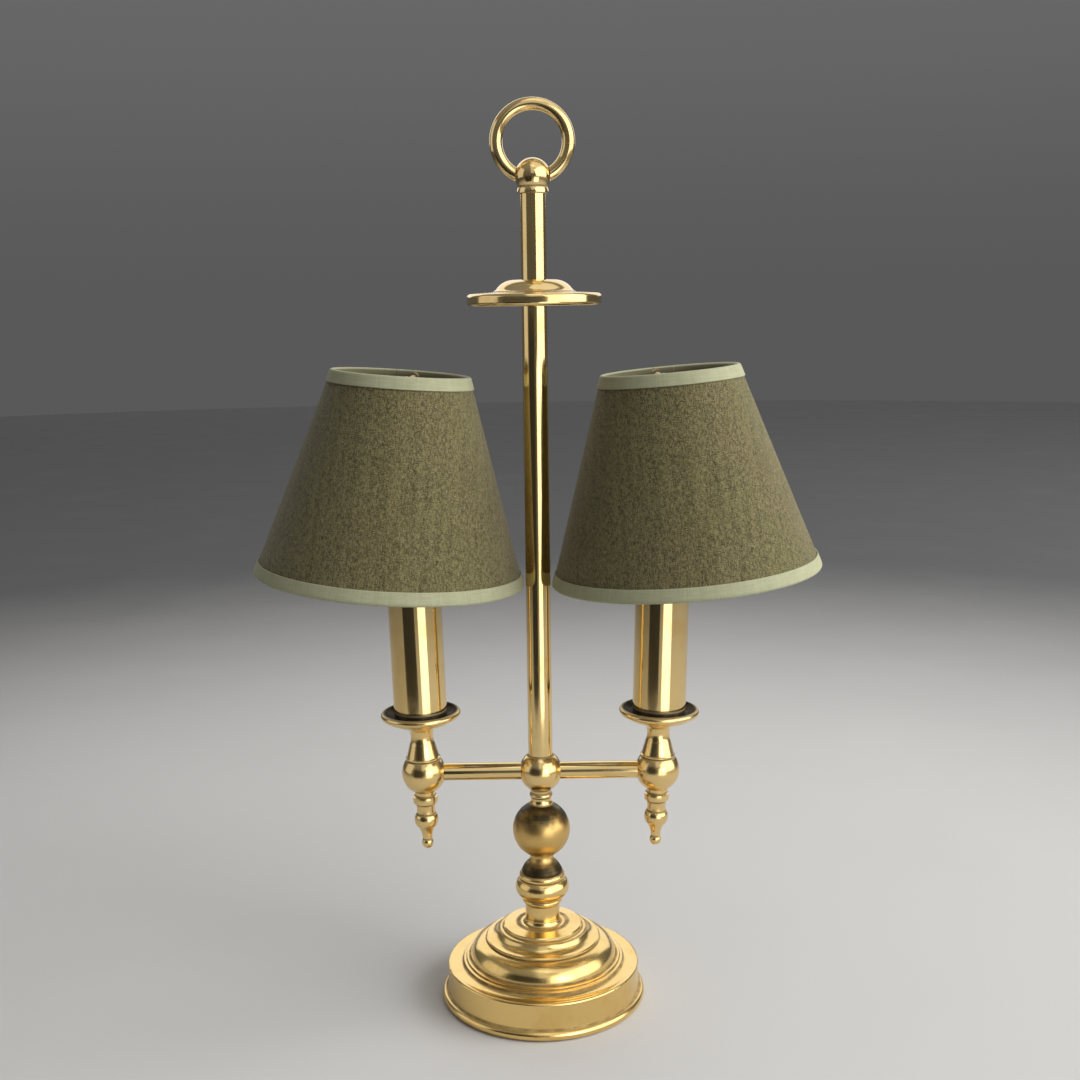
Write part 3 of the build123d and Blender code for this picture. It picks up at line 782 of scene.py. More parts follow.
@dataclass(frozen=True)
class Moulding:
    """Moulded or extruded plastic with a fine skin and handling marks.

    Attributes:
        base: Its colour.
        fleck: The colour of its flecks and scuffs.
        rough: Its mean roughness.
        scuffs: The patches of that colour.
        hair_dulling: How much rougher a hairline scratch is.
        skin_count: Grains of the skin per metre.
        skin_depth: Depth of the skin in metres.
    """

    base: Colour
    fleck: Colour
    rough: float
    scuffs: Patches = Patches(2.5 * MM, 0.3, tint=0.5, dulling=0.15)
    hair_dulling: float = 0.1
    skin_count: float = 3000.0
    skin_depth: float = 6e-6

    def build(self, effects: Effects, name: str, axis: AxisFrame) -> bpy.types.Material:
        """Make the finish for one piece.

        Args:
            effects: The shared node groups.
            name: The material's name.
            axis: The frame that the skin's pattern follows.

        Returns:
            The material.
        """
        sheet = MaterialSheet(name)
        here = sheet.place(axis)
        scuff = self.scuffs.mask(sheet, effects, here)
        hairs = sheet.group(effects.hairlines, Vector=here)["Mask"]
        skin = sheet.noise(here, self.skin_count, detail=3.0)
        colour = sheet.mix(sheet.math("MULTIPLY", scuff, self.scuffs.tint), self.base, self.fleck)
        rough = sheet.math("MULTIPLY_ADD", hairs, self.hair_dulling, self.rough)
        rough = sheet.math("MULTIPLY_ADD", scuff, self.scuffs.dulling, rough)
        sheet.shade(Base_Color=colour, Roughness=rough)
        sheet.relief(skin, self.skin_depth)
        return sheet.material


@dataclass(frozen=True)
class OpalGlass:
    """White-coated bulb glass, thinner in its coat towards the neck.

    Attributes:
        white: Its colour where the coat is full.
        grey: Its colour where the coat is thin.
        thin_run: Heights from the bulb's centre between which the coat fills, in metres.
        rough: Its roughness where it is clean.
        dust: The dusty patches.
        gloss: Weight of the clear glass over the coat.
        gloss_rough: Roughness of that glass.
        wave_count: Waves in the blown glass per metre.
        wave_depth: Depth of those waves in metres.
    """

    white: Colour = (0.86, 0.85, 0.81)
    grey: Colour = (0.62, 0.62, 0.60)
    thin_run: Pair = (-32 * MM, -6 * MM)
    rough: float = 0.14
    dust: Patches = Patches(6 * MM, 0.35, dulling=0.12)
    gloss: float = 0.4
    gloss_rough: float = 0.05
    wave_count: float = 90.0
    wave_depth: float = 30e-6

    def build(self, effects: Effects, name: str, axis: AxisFrame) -> bpy.types.Material:
        """Make the finish for one bulb.

        Args:
            effects: The shared node groups.
            name: The material's name.
            axis: The bulb's axis, from its centre.

        Returns:
            The material.
        """
        sheet = MaterialSheet(name)
        here = sheet.place(axis)
        along = sheet.add("SeparateXYZ", {0: here}).outputs[2]
        coat = sheet.spread(along, *self.thin_run)
        dust = self.dust.mask(sheet, effects, here)
        colour = sheet.mix(coat, self.grey, self.white)
        rough = sheet.math("MULTIPLY_ADD", dust, self.dust.dulling, self.rough)
        sheet.shade(
            Base_Color=colour,
            Roughness=rough,
            Coat_Weight=self.gloss,
            Coat_Roughness=self.gloss_rough,
        )
        sheet.relief(sheet.noise(here, self.wave_count, detail=1.0), self.wave_depth)
        return sheet.material


@dataclass(frozen=True)
class WovenCloth:
    """Plain-woven cloth, as the shades' linen and their edging tape.

    Attributes:
        dark: The colour of its dark yarn.
        light: The colour of its light yarn.
        warm: The colour of warmer lots of that yarn.
        gap: How much darker the holes between threads are painted, as their shade.
        pitch: Thread spacing in metres.
        slub: Length of a thread's thick places, in metres.
        relief: Depth of the weave in metres.
        sheen: How much fuzz catches the light.
        fuzz: The colour of that fuzz.
        baked: Width of the strip at the cut's start, on the shade's inside, that is painted darker as
            shade, in metres.
        scorch: The painted shade colour of that strip.
        scorch_fade: Width over which that strip fades, in metres.
        scorch_share: How far the strip takes on its colour.
        streak_count: Uneven warp streaks per metre of cloth.
        streak_squeeze: How the streaks are drawn out along the warp.
        streak_share: How much the streaks change the yarn's tone.
        wander: How far threads wander, against their spacing.
        lot_count: Changes of yarn lot per metre.
        lot_levels: Levels between which one lot gives way to the other.
        tone_levels: Levels of a thread's tone from dark to light.
        weft_floor: How light the darkest weft is.
        hollow_levels: Heights of the weave between which a hole darkens.
        hollow_shade: Painted shade colour of a hole, as a share of the dark yarn's.
        rough_levels: Heights of the weave between which its roughness changes.
        rough_range: Roughness at those heights.
        fuzz_rough: Roughness of the fuzz.
        gloss: Strength of the yarn's own reflection.
        slub_rises: How far thick places of the warp and of the weft rise, against the weave.
    """

    dark: Colour
    light: Colour
    warm: Colour
    gap: float
    pitch: float
    slub: float
    relief: float
    sheen: float
    fuzz: Colour = (0.5, 0.48, 0.4)
    baked: float = 0.0
    scorch: Colour = (0.06, 0.052, 0.024)
    scorch_fade: float = 1.5 * MM
    scorch_share: float = 0.85
    streak_count: float = 330.0
    streak_squeeze: Place = (1.0, 0.05, 1.0)
    streak_share: float = 0.5
    wander: float = 0.3
    lot_count: float = 16.0
    lot_levels: Pair = (0.35, 0.65)
    tone_levels: Pair = (0.32, 0.68)
    weft_floor: float = 0.2
    hollow_levels: Pair = (0.15, 0.6)
    hollow_shade: float = 0.3
    rough_levels: Pair = (0.2, 0.9)
    rough_range: Pair = (0.95, 0.8)
    fuzz_rough: float = 0.45
    gloss: float = 0.25
    slub_rises: Pair = (0.35, 0.25)

    def build(self, effects: Effects, name: str) -> bpy.types.Material:
        """Make the finish on a piece that has its flat cut as a UV map.

        Args:
            effects: The shared node groups.
            name: The material's name.

        Returns:
            The material.
        """
        sheet = MaterialSheet(name)
        here = sheet.cut()
        weave = sheet.group(
            effects.weave, Vector=here, Pitch=self.pitch, Wander=self.wander, Slub=self.slub
        )
        tones = [sheet.spread(weave[label], *self.tone_levels) for label in ("Warp Tone", "Weft Tone")]
        tone = self._yarn_tone(sheet, here, weave["Over"], tones)
        lot = sheet.spread(sheet.noise(here, self.lot_count), *self.lot_levels)
        colour = sheet.mix(tone, self.dark, sheet.mix(lot, self.light, self.warm))
        # The holes between threads are painted darker as their shade.
        hollow = sheet.spread(weave["Height"], *self.hollow_levels, self.gap, 0.0)
        colour = sheet.mix(hollow, colour, tuple(part * self.hollow_shade for part in self.dark))
        # Painted shade on the tape's inside edge, within the shade's opening.
        if self.baked:
            across = sheet.add("SeparateXYZ", {0: here}).outputs[1]
            fade = (self.baked - self.scorch_fade, self.baked)
            inside_shade_mask = sheet.spread(across, *fade, self.scorch_share, 0.0)
            colour = sheet.mix(inside_shade_mask, colour, self.scorch)
        sheet.shade(
            Base_Color=colour,
            Roughness=sheet.spread(weave["Height"], *self.rough_levels, *self.rough_range),
            Sheen_Weight=self.sheen,
            Sheen_Roughness=self.fuzz_rough,
            Sheen_Tint=self.fuzz,
            Specular_IOR_Level=self.gloss,
        )
        height = weave["Height"]
        for thread, rise in zip(tones, self.slub_rises):
            height = sheet.math("MULTIPLY_ADD", thread, rise, height)
        sheet.relief(height, self.relief)
        return sheet.material

    def _yarn_tone(
        self, sheet: MaterialSheet, here: Socket, over: Socket, tones: Sequence[Socket]
    ) -> Socket:
        """Work out how light the yarn on top is, with its uneven streaks.

        Args:
            sheet: The material's sheet.
            here: Places on the flat cut.
            over: Where the warp lies on top.
            tones: The tones of the warp and of the weft.

        Returns:
            The tone's socket, from zero for dark yarn to one for light yarn.
        """
        warp, weft = tones
        weft = sheet.math("MULTIPLY_ADD", weft, 1.0 - self.weft_floor, self.weft_floor)
        under = sheet.math("SUBTRACT", 1.0, over)
        shown = [sheet.math("MULTIPLY", *pair) for pair in ((over, warp), (under, weft))]
        squeeze = sheet.add("VectorMath", {0: here, 1: self.streak_squeeze}, operation="MULTIPLY")
        streaks = sheet.noise(squeeze.outputs[0], self.streak_count)
        uneven = sheet.math("SUBTRACT", streaks, NOISE_MIDDLE)
        return sheet.math("MULTIPLY_ADD", uneven, self.streak_share, sheet.math("ADD", *shown))


@dataclass(frozen=True)
class LiningPaper:
    """Off-white laminated lining with a paper tooth.

    Attributes:
        base: Its colour where it is fresh.
        warm: Its colour where it has aged.
        ageing: The aged patches.
        tooth_count: Grains of the paper's tooth per metre.
        tooth_depth: Depth of that tooth in metres.
        rough_range: Its roughness over the tooth.
    """

    base: Colour = (0.66, 0.62, 0.52)
    warm: Colour = (0.55, 0.48, 0.36)
    ageing: Patches = Patches(22 * MM, 0.5, tint=0.5)
    tooth_count: float = 2200.0
    tooth_depth: float = 20e-6
    rough_range: Pair = (0.5, 0.7)

    def build(self, effects: Effects, name: str) -> bpy.types.Material:
        """Make the lining's finish.

        Args:
            effects: The shared node groups.
            name: The material's name.

        Returns:
            The material.
        """
        sheet = MaterialSheet(name)
        here = sheet.cut()
        aged = sheet.math("MULTIPLY", self.ageing.mask(sheet, effects, here), self.ageing.tint)
        tooth = sheet.noise(here, self.tooth_count, detail=3.0)
        rough = sheet.spread(tooth, *NOISE_LEVELS, *self.rough_range)
        sheet.shade(Base_Color=sheet.mix(aged, self.base, self.warm), Roughness=rough)
        sheet.relief(tooth, self.tooth_depth)
        return sheet.material


@dataclass(frozen=True)
class Felt:
    """Pressed wool felt with loose fibres.

    Attributes:
        base: The colour of its mass.
        fibre: The colour of the fibres on top.
        fibre_count: Fibres per metre.
        fibre_share: How far a loose fibre shows its colour.
        nap_count: Tufts of the nap per metre.
        nap_share: How far a tuft shows the fibres' colour.
        rough_range: Its roughness over the nap.
        fuzz: How much fuzz catches the light.
        depth: Depth of the nap in metres.
    """

    base: Colour = (0.07, 0.13, 0.09)
    fibre: Colour = (0.13, 0.21, 0.15)
    fibre_count: float = 1800.0
    fibre_share: float = 0.5
    nap_count: float = 1200.0
    nap_share: float = 0.5
    rough_range: Pair = (0.85, 1.0)
    fuzz: float = 0.3
    depth: float = 120e-6

    def build(self, effects: Effects, name: str) -> bpy.types.Material:
        """Make the felt's finish.

        Args:
            effects: The shared node groups.
            name: The material's name.

        Returns:
            The material.
        """
        sheet = MaterialSheet(name)
        here = sheet.place(COLUMN_AXIS)
        fibres = sheet.group(effects.hairlines, Vector=here, Fineness=self.fibre_count)["Mask"]
        nap = sheet.noise(here, self.nap_count, detail=4.0)
        tufts = sheet.spread(nap, *NOISE_LEVELS, 0.0, self.nap_share)
        shown = sheet.math("MULTIPLY_ADD", fibres, self.fibre_share, tufts)
        rough = sheet.spread(nap, *NOISE_LEVELS, *self.rough_range)
        sheet.shade(
            Base_Color=sheet.mix(shown, self.base, self.fibre), Roughness=rough, Sheen_Weight=self.fuzz
        )
        sheet.relief(sheet.math("ADD", fibres, nap), self.depth)
        return sheet.material


POLISHED = Brass(line_depth=0.4e-6)
SPUN = Brass(clean=(0.88, 0.625, 0.24), warm=(0.82, 0.53, 0.17), polish=0.2, line_depth=0.5e-6)
CAST = Brass(clean=(0.86, 0.625, 0.27), warm=(0.79, 0.52, 0.18), polish=0.2)
# The drip pan's finish paints its hollow near black: painted shade and a painted dark reflection.
SHADED_PAN = Brass(grime=(0.02, 0.014, 0.007), polish=0.18, soil=1.0, patchy=0.1)
DRAWN = Brass(grain=Grain.DRAWN, polish=0.1, line_depth=1.6e-6)
# Darker towards one end: patina and a painted dark reflection.
AGED_AND_SHADED = AgedBrass()
STEEL = WorkedMetal(base=(0.56, 0.55, 0.52), stain=(0.34, 0.32, 0.28), rough=0.32, thread=1.0 * MM)
IRON = WorkedMetal(base=(0.13, 0.13, 0.135), stain=(0.09, 0.07, 0.055), rough=0.6, pits=90e-6)
CONTACT = WorkedMetal(base=(0.75, 0.58, 0.28), stain=(0.52, 0.36, 0.14), rough=0.25)
CAP = WorkedMetal(base=(0.78, 0.77, 0.74), stain=(0.5, 0.48, 0.44), rough=0.28, thread=2.82 * MM)
WIRE = WorkedMetal(base=(0.42, 0.31, 0.14), stain=(0.26, 0.18, 0.08), rough=0.36)
BUSH = Moulding(base=(0.035, 0.024, 0.016), fleck=(0.09, 0.07, 0.05), rough=0.42)
BLOCK = Moulding(base=(0.8, 0.79, 0.74), fleck=(0.6, 0.57, 0.5), rough=0.35)
PHENOLIC = Moulding(base=(0.022, 0.018, 0.015), fleck=(0.06, 0.045, 0.035), rough=0.36)
SHEATH = Moulding(base=(0.5, 0.47, 0.4), fleck=(0.36, 0.33, 0.27), rough=0.5)
OPAL = OpalGlass()
LINEN = WovenCloth(
    dark=(0.036, 0.033, 0.01),
    light=(0.24, 0.208, 0.092),
    warm=(0.252, 0.207, 0.098),
    gap=0.5,
    pitch=0.5 * MM,
    slub=0.6 * MM,
    relief=0.1 * MM,
    sheen=0.5,
)
TAPE = WovenCloth(
    dark=(0.31, 0.316, 0.19),
    light=(0.41, 0.414, 0.268),
    warm=(0.42, 0.408, 0.26),
    gap=0.15,
    pitch=0.26 * MM,
    slub=3 * MM,
    relief=0.025 * MM,
    sheen=0.2,
    baked=9 * MM,
)
PAPER = LiningPaper()
FELT = Felt()


def dress(node: str, material: bpy.types.Material) -> None:
    """Give a solid its finish.

    Args:
        node: The node's name.
        material: The finish.
    """
    mesh = frame["nodes"][node].data
    mesh.materials.clear()
    mesh.materials.append(material)
    LOG.info("dressed %s", node)


def grooves(node: str, axis: AxisFrame, shares: GrooveRows) -> list[Crease]:
    """Place a turned piece's grooves.

    Args:
        node: The node's name.
        axis: The axis that it was turned about.
        shares: Each groove's radius and height as shares of the piece's own, and its width in metres.

    Returns:
        The grooves in the axis's frame.
    """
    low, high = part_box(node)
    radius = (high.y - low.y) / 2
    foot = low.z - axis.origin[2]
    rows = []
    for radius_share, height_share, width in shares:
        rows.append(Crease(radius_share * radius, foot + height_share * (high.z - low.z), width))
    return rows


def make_piece(name: str, bm: bmesh.types.BMesh, material: bpy.types.Material) -> bpy.types.Object:
    """Turn a finished mesh into a smooth-shaded object at the origin.

    Args:
        name: The piece's name.
        bm: Its mesh, which is freed.
        material: Its finish.

    Returns:
        The piece.
    """
    for face in bm.faces:
        face.smooth = True
    mesh = bpy.data.meshes.new(name)
    bm.to_mesh(mesh)
    bm.free()
    mesh.materials.append(material)
    piece = bpy.data.objects.new(name, mesh)
    bpy.context.scene.collection.objects.link(piece)
    LOG.info("modelled %s", name)
    return piece


def thicken(piece: bpy.types.Object, thickness: float, offset: float) -> None:
    """Give a sheet its thickness.

    Args:
        piece: The sheet.
        thickness: Its thickness in metres.
        offset: Minus one to grow inwards from its face, zero to grow both ways.
    """
    solidify = piece.modifiers.new("thickness", "SOLIDIFY")
    solidify.thickness = thickness
    solidify.offset = offset


def roll_cloth(
    columns: int, rows: int, roll: Callable[[float, float], tuple[Vector, Pair]]
) -> bmesh.types.BMesh:
    """Roll a flat grid of cloth into its place and keep its flat cut as a UV map.

    Args:
        columns: Steps along the grid's width.
        rows: Steps along its height.
        roll: Gives the place and the flat place for shares of the width and the height.

    Returns:
        The rolled mesh.
    """
    bm = bmesh.new()
    layer = bm.loops.layers.uv.new(FLAT_UV)
    bmesh.ops.create_grid(bm, x_segments=columns, y_segments=rows, size=0.5)
    flat = {}
    for vert in bm.verts:
        vert.co, flat[vert] = roll(vert.co.x + 0.5, vert.co.y + 0.5)
    for face in bm.faces:
        for loop in face.loops:
            loop[layer].uv = flat[loop.vert]
    return bm


def smoothstep(value: float, low: float, high: float) -> float:
    """Rise smoothly from zero at one number to one at another.

    Args:
        value: The number to place.
        low: Where the rise starts.
        high: Where it ends.

    Returns:
        A share from zero to one.
    """
    share = min(max((value - low) / (high - low), 0.0), 1.0)
    return share * share * (3 - 2 * share)


@dataclass
class Base:
    """The spun base with its weight, felt, bush and wiring block.

    Attributes:
        effects: The shared node groups.
        felt_edge: How far the felt's edges are worn round, in metres.
        felt_edge_steps: Steps in that rounding.
        felt_segments: Steps round the felt.
        shell_grooves: The shell's grooves, from the foot up.
    """

    effects: Effects
    felt_edge: float = 0.45 * MM
    felt_edge_steps: int = 3
    felt_segments: int = 160
    shell_grooves: GrooveRows = (
        (0.955, 0.12, 1.3 * MM),
        (0.785, 0.484, 1.6 * MM),
        (0.75, 0.522, 1.0 * MM),
        (0.719, 0.556, 1.4 * MM),
        (0.553, 0.785, 1.2 * MM),
        (0.432, 0.93, 1.0 * MM),
        (0.388, 0.94, 1.0 * MM),
        (0.24, 1.0, 1.8 * MM),
    )

    def dress(self) -> None:
        """Give the base's solids their finishes and model its felt."""
        creases = grooves("base_shell", COLUMN_AXIS, self.shell_grooves)
        dress("base_shell", SPUN.build(self.effects, "base_brass", COLUMN_AXIS, creases))
        dress("base_weight", IRON.build(self.effects, "base_iron", COLUMN_AXIS))
        dress("cord_bush", BUSH.build(self.effects, "bush_plastic", COLUMN_AXIS))
        dress("terminal_block", BLOCK.build(self.effects, "block_plastic", COLUMN_AXIS))
        steel = STEEL.build(self.effects, "base_steel", COLUMN_AXIS)
        for node in ("base_washer", "base_nut", "stem_pipe", "tie_rod"):
            dress(node, steel)
        self.lay_felt()

    def lay_felt(self) -> bpy.types.Object:
        """Model the felt disc under the base.

        Returns:
            The felt.
        """
        low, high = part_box("felt_pad")
        radius = (high.y - low.y) / 2
        bm = bmesh.new()
        bmesh.ops.create_circle(bm, cap_ends=True, segments=self.felt_segments, radius=radius)
        sole = bm.faces[:]
        grown = bmesh.ops.extrude_face_region(bm, geom=sole, use_keep_orig=True)
        top = [part for part in grown["geom"] if isinstance(part, bmesh.types.BMVert)]
        bmesh.ops.translate(bm, verts=top, vec=(0, 0, high.z - low.z))
        rims = [edge for edge in bm.edges if len({round(vert.co.z, 6) for vert in edge.verts}) == 1]
        bmesh.ops.bevel(
            bm,
            geom=rims,
            affect="EDGES",
            offset=self.felt_edge,
            segments=self.felt_edge_steps,
            profile=0.5,
            material=-1,
        )
        bmesh.ops.translate(bm, verts=bm.verts[:], vec=(0, 0, low.z))
        bmesh.ops.recalc_face_normals(bm, faces=bm.faces[:])
        felt = make_piece("base_felt_disc", bm, FELT.build(self.effects, "base_felt"))
        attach(felt, "stand")
        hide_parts("felt_pad")
        return felt


@dataclass
class Stem:
    """The turned pieces between the base and the hub.

    Attributes:
        effects: The shared node groups.
        neck_grooves: The neck's grooves, from its foot up.
        hub_neck_grooves: The hub neck's grooves, from its foot up.
        hub_grooves: The seats at the hub ball's foot and top.
        ball_bright: Where the ball stops being bright, in radii above its middle.
        ball_dark: Where it is fully dark.
        bell_bright: Where the bell starts being bright, as a share of its height.
        bell_dark: Where it is fully dark.
    """

    effects: Effects
    neck_grooves: GrooveRows = (
        (0.73, 0.0, 1.2 * MM),
        (0.64, 0.395, 0.9 * MM),
        (0.71, 0.505, 1.0 * MM),
        (0.82, 0.882, 0.9 * MM),
        (0.79, 1.0, 1.2 * MM),
    )
    hub_neck_grooves: GrooveRows = (
        (1.0, 0.0, 1.3 * MM),
        (0.84, 0.47, 0.8 * MM),
        (0.82, 0.76, 0.9 * MM),
        (0.86, 1.0, 1.1 * MM),
    )
    hub_grooves: GrooveRows = ((0.56, 0.0, 1.2 * MM), (0.6, 1.0, 1.2 * MM))
    ball_bright: float = 0.08
    ball_dark: float = 0.74
    bell_bright: float = 0.85
    bell_dark: float = 0.4

    def dress(self) -> None:
        """Give the stem's solids their finishes."""
        turned = (
            ("stem_neck", "stem_neck_brass", SPUN, self.neck_grooves),
            ("hub_neck", "hub_neck_brass", CAST, self.hub_neck_grooves),
            ("hub_ball", "hub_brass", CAST, self.hub_grooves),
        )
        for node, finish, brass, shares in turned:
            creases = grooves(node, COLUMN_AXIS, shares)
            dress(node, brass.build(self.effects, finish, COLUMN_AXIS, creases))
        # The ball's top and the bell's lower band are darkened as patina and as a painted dark reflection.
        low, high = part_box("stem_ball")
        middle = (low.z + high.z) / 2
        radius = (high.y - low.y) / 2
        worn, aged = (middle + share * radius for share in (self.ball_bright, self.ball_dark))
        dress("stem_ball", AGED_AND_SHADED.build(self.effects, "ball_brass", COLUMN_AXIS, worn, aged))
        low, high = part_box("stem_bell")
        rise = high.z - low.z
        worn, aged = (low.z + share * rise for share in (self.bell_bright, self.bell_dark))
        dress("stem_bell", AGED_AND_SHADED.build(self.effects, "bell_brass", COLUMN_AXIS, worn, aged))


@dataclass
class Column:
    """The column's tubes, disc, collar and finial ball, and the carrying ring.

    Attributes:
        effects: The shared node groups.
        disc_grooves: The disc's grooves.
        collar_grooves: The collar's foot and top.
        finial_grooves: The finial ball's seat.
    """

    effects: Effects
    disc_grooves: GrooveRows = (
        (0.63, 0.55, 1.4 * MM),
        (0.2, 1.0, 1.6 * MM),
        (0.2, 0.0, 1.6 * MM),
    )
    collar_grooves: GrooveRows = ((0.9, 0.0, 0.8 * MM), (0.93, 1.0, 0.8 * MM))
    finial_grooves: GrooveRows = ((0.82, 0.0, 0.9 * MM),)

    def dress(self) -> None:
        """Give the column's solids their finishes."""
        tube = DRAWN.build(self.effects, "column_tube_brass", COLUMN_AXIS)
        dress("column_lower_tube", tube)
        dress("column_upper_tube", tube)
        turned = (
            ("column_disc", "column_disc_brass", self.disc_grooves),
            ("top_collar", "top_collar_brass", self.collar_grooves),
            ("finial_ball", "finial_brass", self.finial_grooves),
        )
        for node, finish, shares in turned:
            creases = grooves(node, COLUMN_AXIS, shares)
            dress(node, POLISHED.build(self.effects, finish, COLUMN_AXIS, creases))
        swing = joint_axis("ring_swing")
        dress("ring_handle", POLISHED.build(self.effects, "ring_brass", swing))


@dataclass
class Candle:
    """One arm with its candle: ball, drop, baluster, drip pan, sleeve and lampholder.

    Attributes:
        effects: The shared node groups.
        side: The side that it is on.
        drop_grooves: The drop's grooves, from its tip up.
        ball_grooves: The seats at the ball's foot and top.
        baluster_grooves: The baluster's seat.
        pan_grooves: Bands over the drip pan's hollow, painted near black as its shade and dark reflection.
    """

    effects: Effects
    side: Side
    drop_grooves: GrooveRows = (
        (0.37, 0.14, 0.8 * MM),
        (0.76, 0.54, 0.9 * MM),
        (0.78, 0.69, 0.9 * MM),
        (0.8, 0.82, 0.9 * MM),
    )
    ball_grooves: GrooveRows = ((0.5, 0.0, 1.2 * MM), (0.77, 1.0, 1.0 * MM))
    baluster_grooves: GrooveRows = ((0.95, 0.0, 1.0 * MM),)
    pan_grooves: GrooveRows = (
        (0.66, 0.54, 2.4 * MM),
        (0.69, 0.44, 3.0 * MM),
        (0.76, 0.44, 3.0 * MM),
        (0.83, 0.48, 3.0 * MM),
        (0.88, 0.56, 2.4 * MM),
    )

    def dress(self) -> None:
        """Give the candle's solids their finishes."""
        word = self.side.word
        axis = joint_axis(f"bulb_{word}_turn")
        low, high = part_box(f"arm_tube_{word}")
        arm_axis = AxisFrame((0.0, 0.0, (low.z + high.z) / 2), math.pi / 2)
        dress(f"arm_tube_{word}", DRAWN.build(self.effects, f"arm_brass_{word}", arm_axis))
        dress(f"candle_sleeve_{word}", DRAWN.build(self.effects, f"sleeve_brass_{word}", axis))
        turned = (
            ("candle_ball", CAST, self.ball_grooves),
            ("drop_finial", CAST, self.drop_grooves),
            ("baluster", CAST, self.baluster_grooves),
            # The drip pan's bands paint its hollow's shade and dark reflection near black.
            ("drip_pan", SHADED_PAN, self.pan_grooves),
        )
        for piece, brass, shares in turned:
            creases = grooves(f"{piece}_{word}", axis, shares)
            dress(f"{piece}_{word}", brass.build(self.effects, f"{piece}_brass_{word}", axis, creases))
        steel = STEEL.build(self.effects, f"nipple_steel_{word}", axis)
        dress(f"holder_nipple_{word}", steel)
        dress(f"pan_nut_{word}", steel)
        dress(f"lampholder_{word}", PHENOLIC.build(self.effects, f"holder_phenolic_{word}", axis))
        contact = CONTACT.build(self.effects, f"contact_brass_{word}", axis)
        dress(f"screw_shell_{word}", contact)
        dress(f"centre_contact_{word}", contact)
        dress(f"lead_{word}", SHEATH.build(self.effects, f"lead_sheath_{word}", axis))


@dataclass
class Bulb:
    """One round bulb with its screw cap.

    Attributes:
        effects: The shared node groups.
        side: The side that it is on.
    """

    effects: Effects
    side: Side

    def dress(self) -> None:
        """Give the bulb's solids their finishes."""
        word = self.side.word
        axis = joint_axis(f"bulb_{word}_turn")
        dress(f"bulb_glass_{word}", OPAL.build(self.effects, f"opal_{word}", axis))
        dress(f"bulb_cap_{word}", CAP.build(self.effects, f"cap_metal_{word}", axis))


@dataclass(frozen=True)
class Cone:
    """A cone that cloth is rolled on, with its flat cut.

    Angles run from the front, and runs from the bottom edge up the cone's flank.

    Attributes:
        bottom_radius: Radius at the bottom edge, in metres.
        top_radius: Radius at the top edge, in metres.
        height: Height between the edges, in metres.
    """

    bottom_radius: float
    top_radius: float
    height: float

    @property
    def slant(self) -> float:
        """Length of the flank."""
        return math.hypot(self.height, self.bottom_radius - self.top_radius)

    @property
    def slope(self) -> float:
        """Sine of the flank's angle to the axis."""
        return (self.bottom_radius - self.top_radius) / self.slant

    def spot(self, angle: float, run: float, proud: float) -> Vector:
        """Find a place on or near the cone.

        Args:
            angle: Angle round the axis.
            run: Distance up the flank.
            proud: Distance outwards from the flank.

        Returns:
            The place in the cone's own frame.
        """
        upright = self.height / self.slant
        radius = self.bottom_radius - run * self.slope + proud * upright
        rise = run * upright + proud * self.slope
        return Vector((radius * math.sin(angle), -radius * math.cos(angle), rise))

    def flat(self, angle: float, run: float) -> Pair:
        """Find the same place on the flat cut.

        Args:
            angle: Angle round the axis.
            run: Distance up the flank.

        Returns:
            The place on the cut, in metres from the cone's apex.
        """
        reach = self.bottom_radius / self.slope - run
        return reach * math.sin(angle * self.slope), -reach * math.cos(angle * self.slope)

    def cut_size(self, lap: float) -> Pair:
        """Size of the rectangle that the flat cut fits in.

        Args:
            lap: Angle by which the cut laps over itself.

        Returns:
            Its width and length.
        """
        half = (math.pi + lap / 2) * self.slope
        outer = self.bottom_radius / self.slope
        return 2 * outer * math.sin(half), outer - (outer - self.slant) * math.cos(half)

    def cut_area(self, lap: float) -> float:
        """Area of the flat cut with its lap."""
        return (2 * math.pi + lap) / 2 * (self.bottom_radius + self.top_radius) * self.slant


@dataclass(frozen=True)
class Section:
    """A strip's cross-section as a line of places.

    Attributes:
        places: Each place's run from the shade's edge and its distance outwards from the flank.
    """

    places: tuple[Pair, ...]

    @property
    def length(self) -> float:
        """Length of the line."""
        return sum(math.dist(start, end) for start, end in zip(self.places, self.places[1:]))

    def at(self, share: float) -> Pair:
        """Find a place along the line.

        Args:
            share: Share of the line's length.

        Returns:
            The place there.
        """
        left = share * self.length
        for start, end in zip(self.places, self.places[1:]):
            step = math.dist(start, end)
            if left <= step:
                return (
                    start[0] + (end[0] - start[0]) * left / step,
                    start[1] + (end[1] - start[1]) * left / step,
                )
            left -= step
        return self.places[-1]


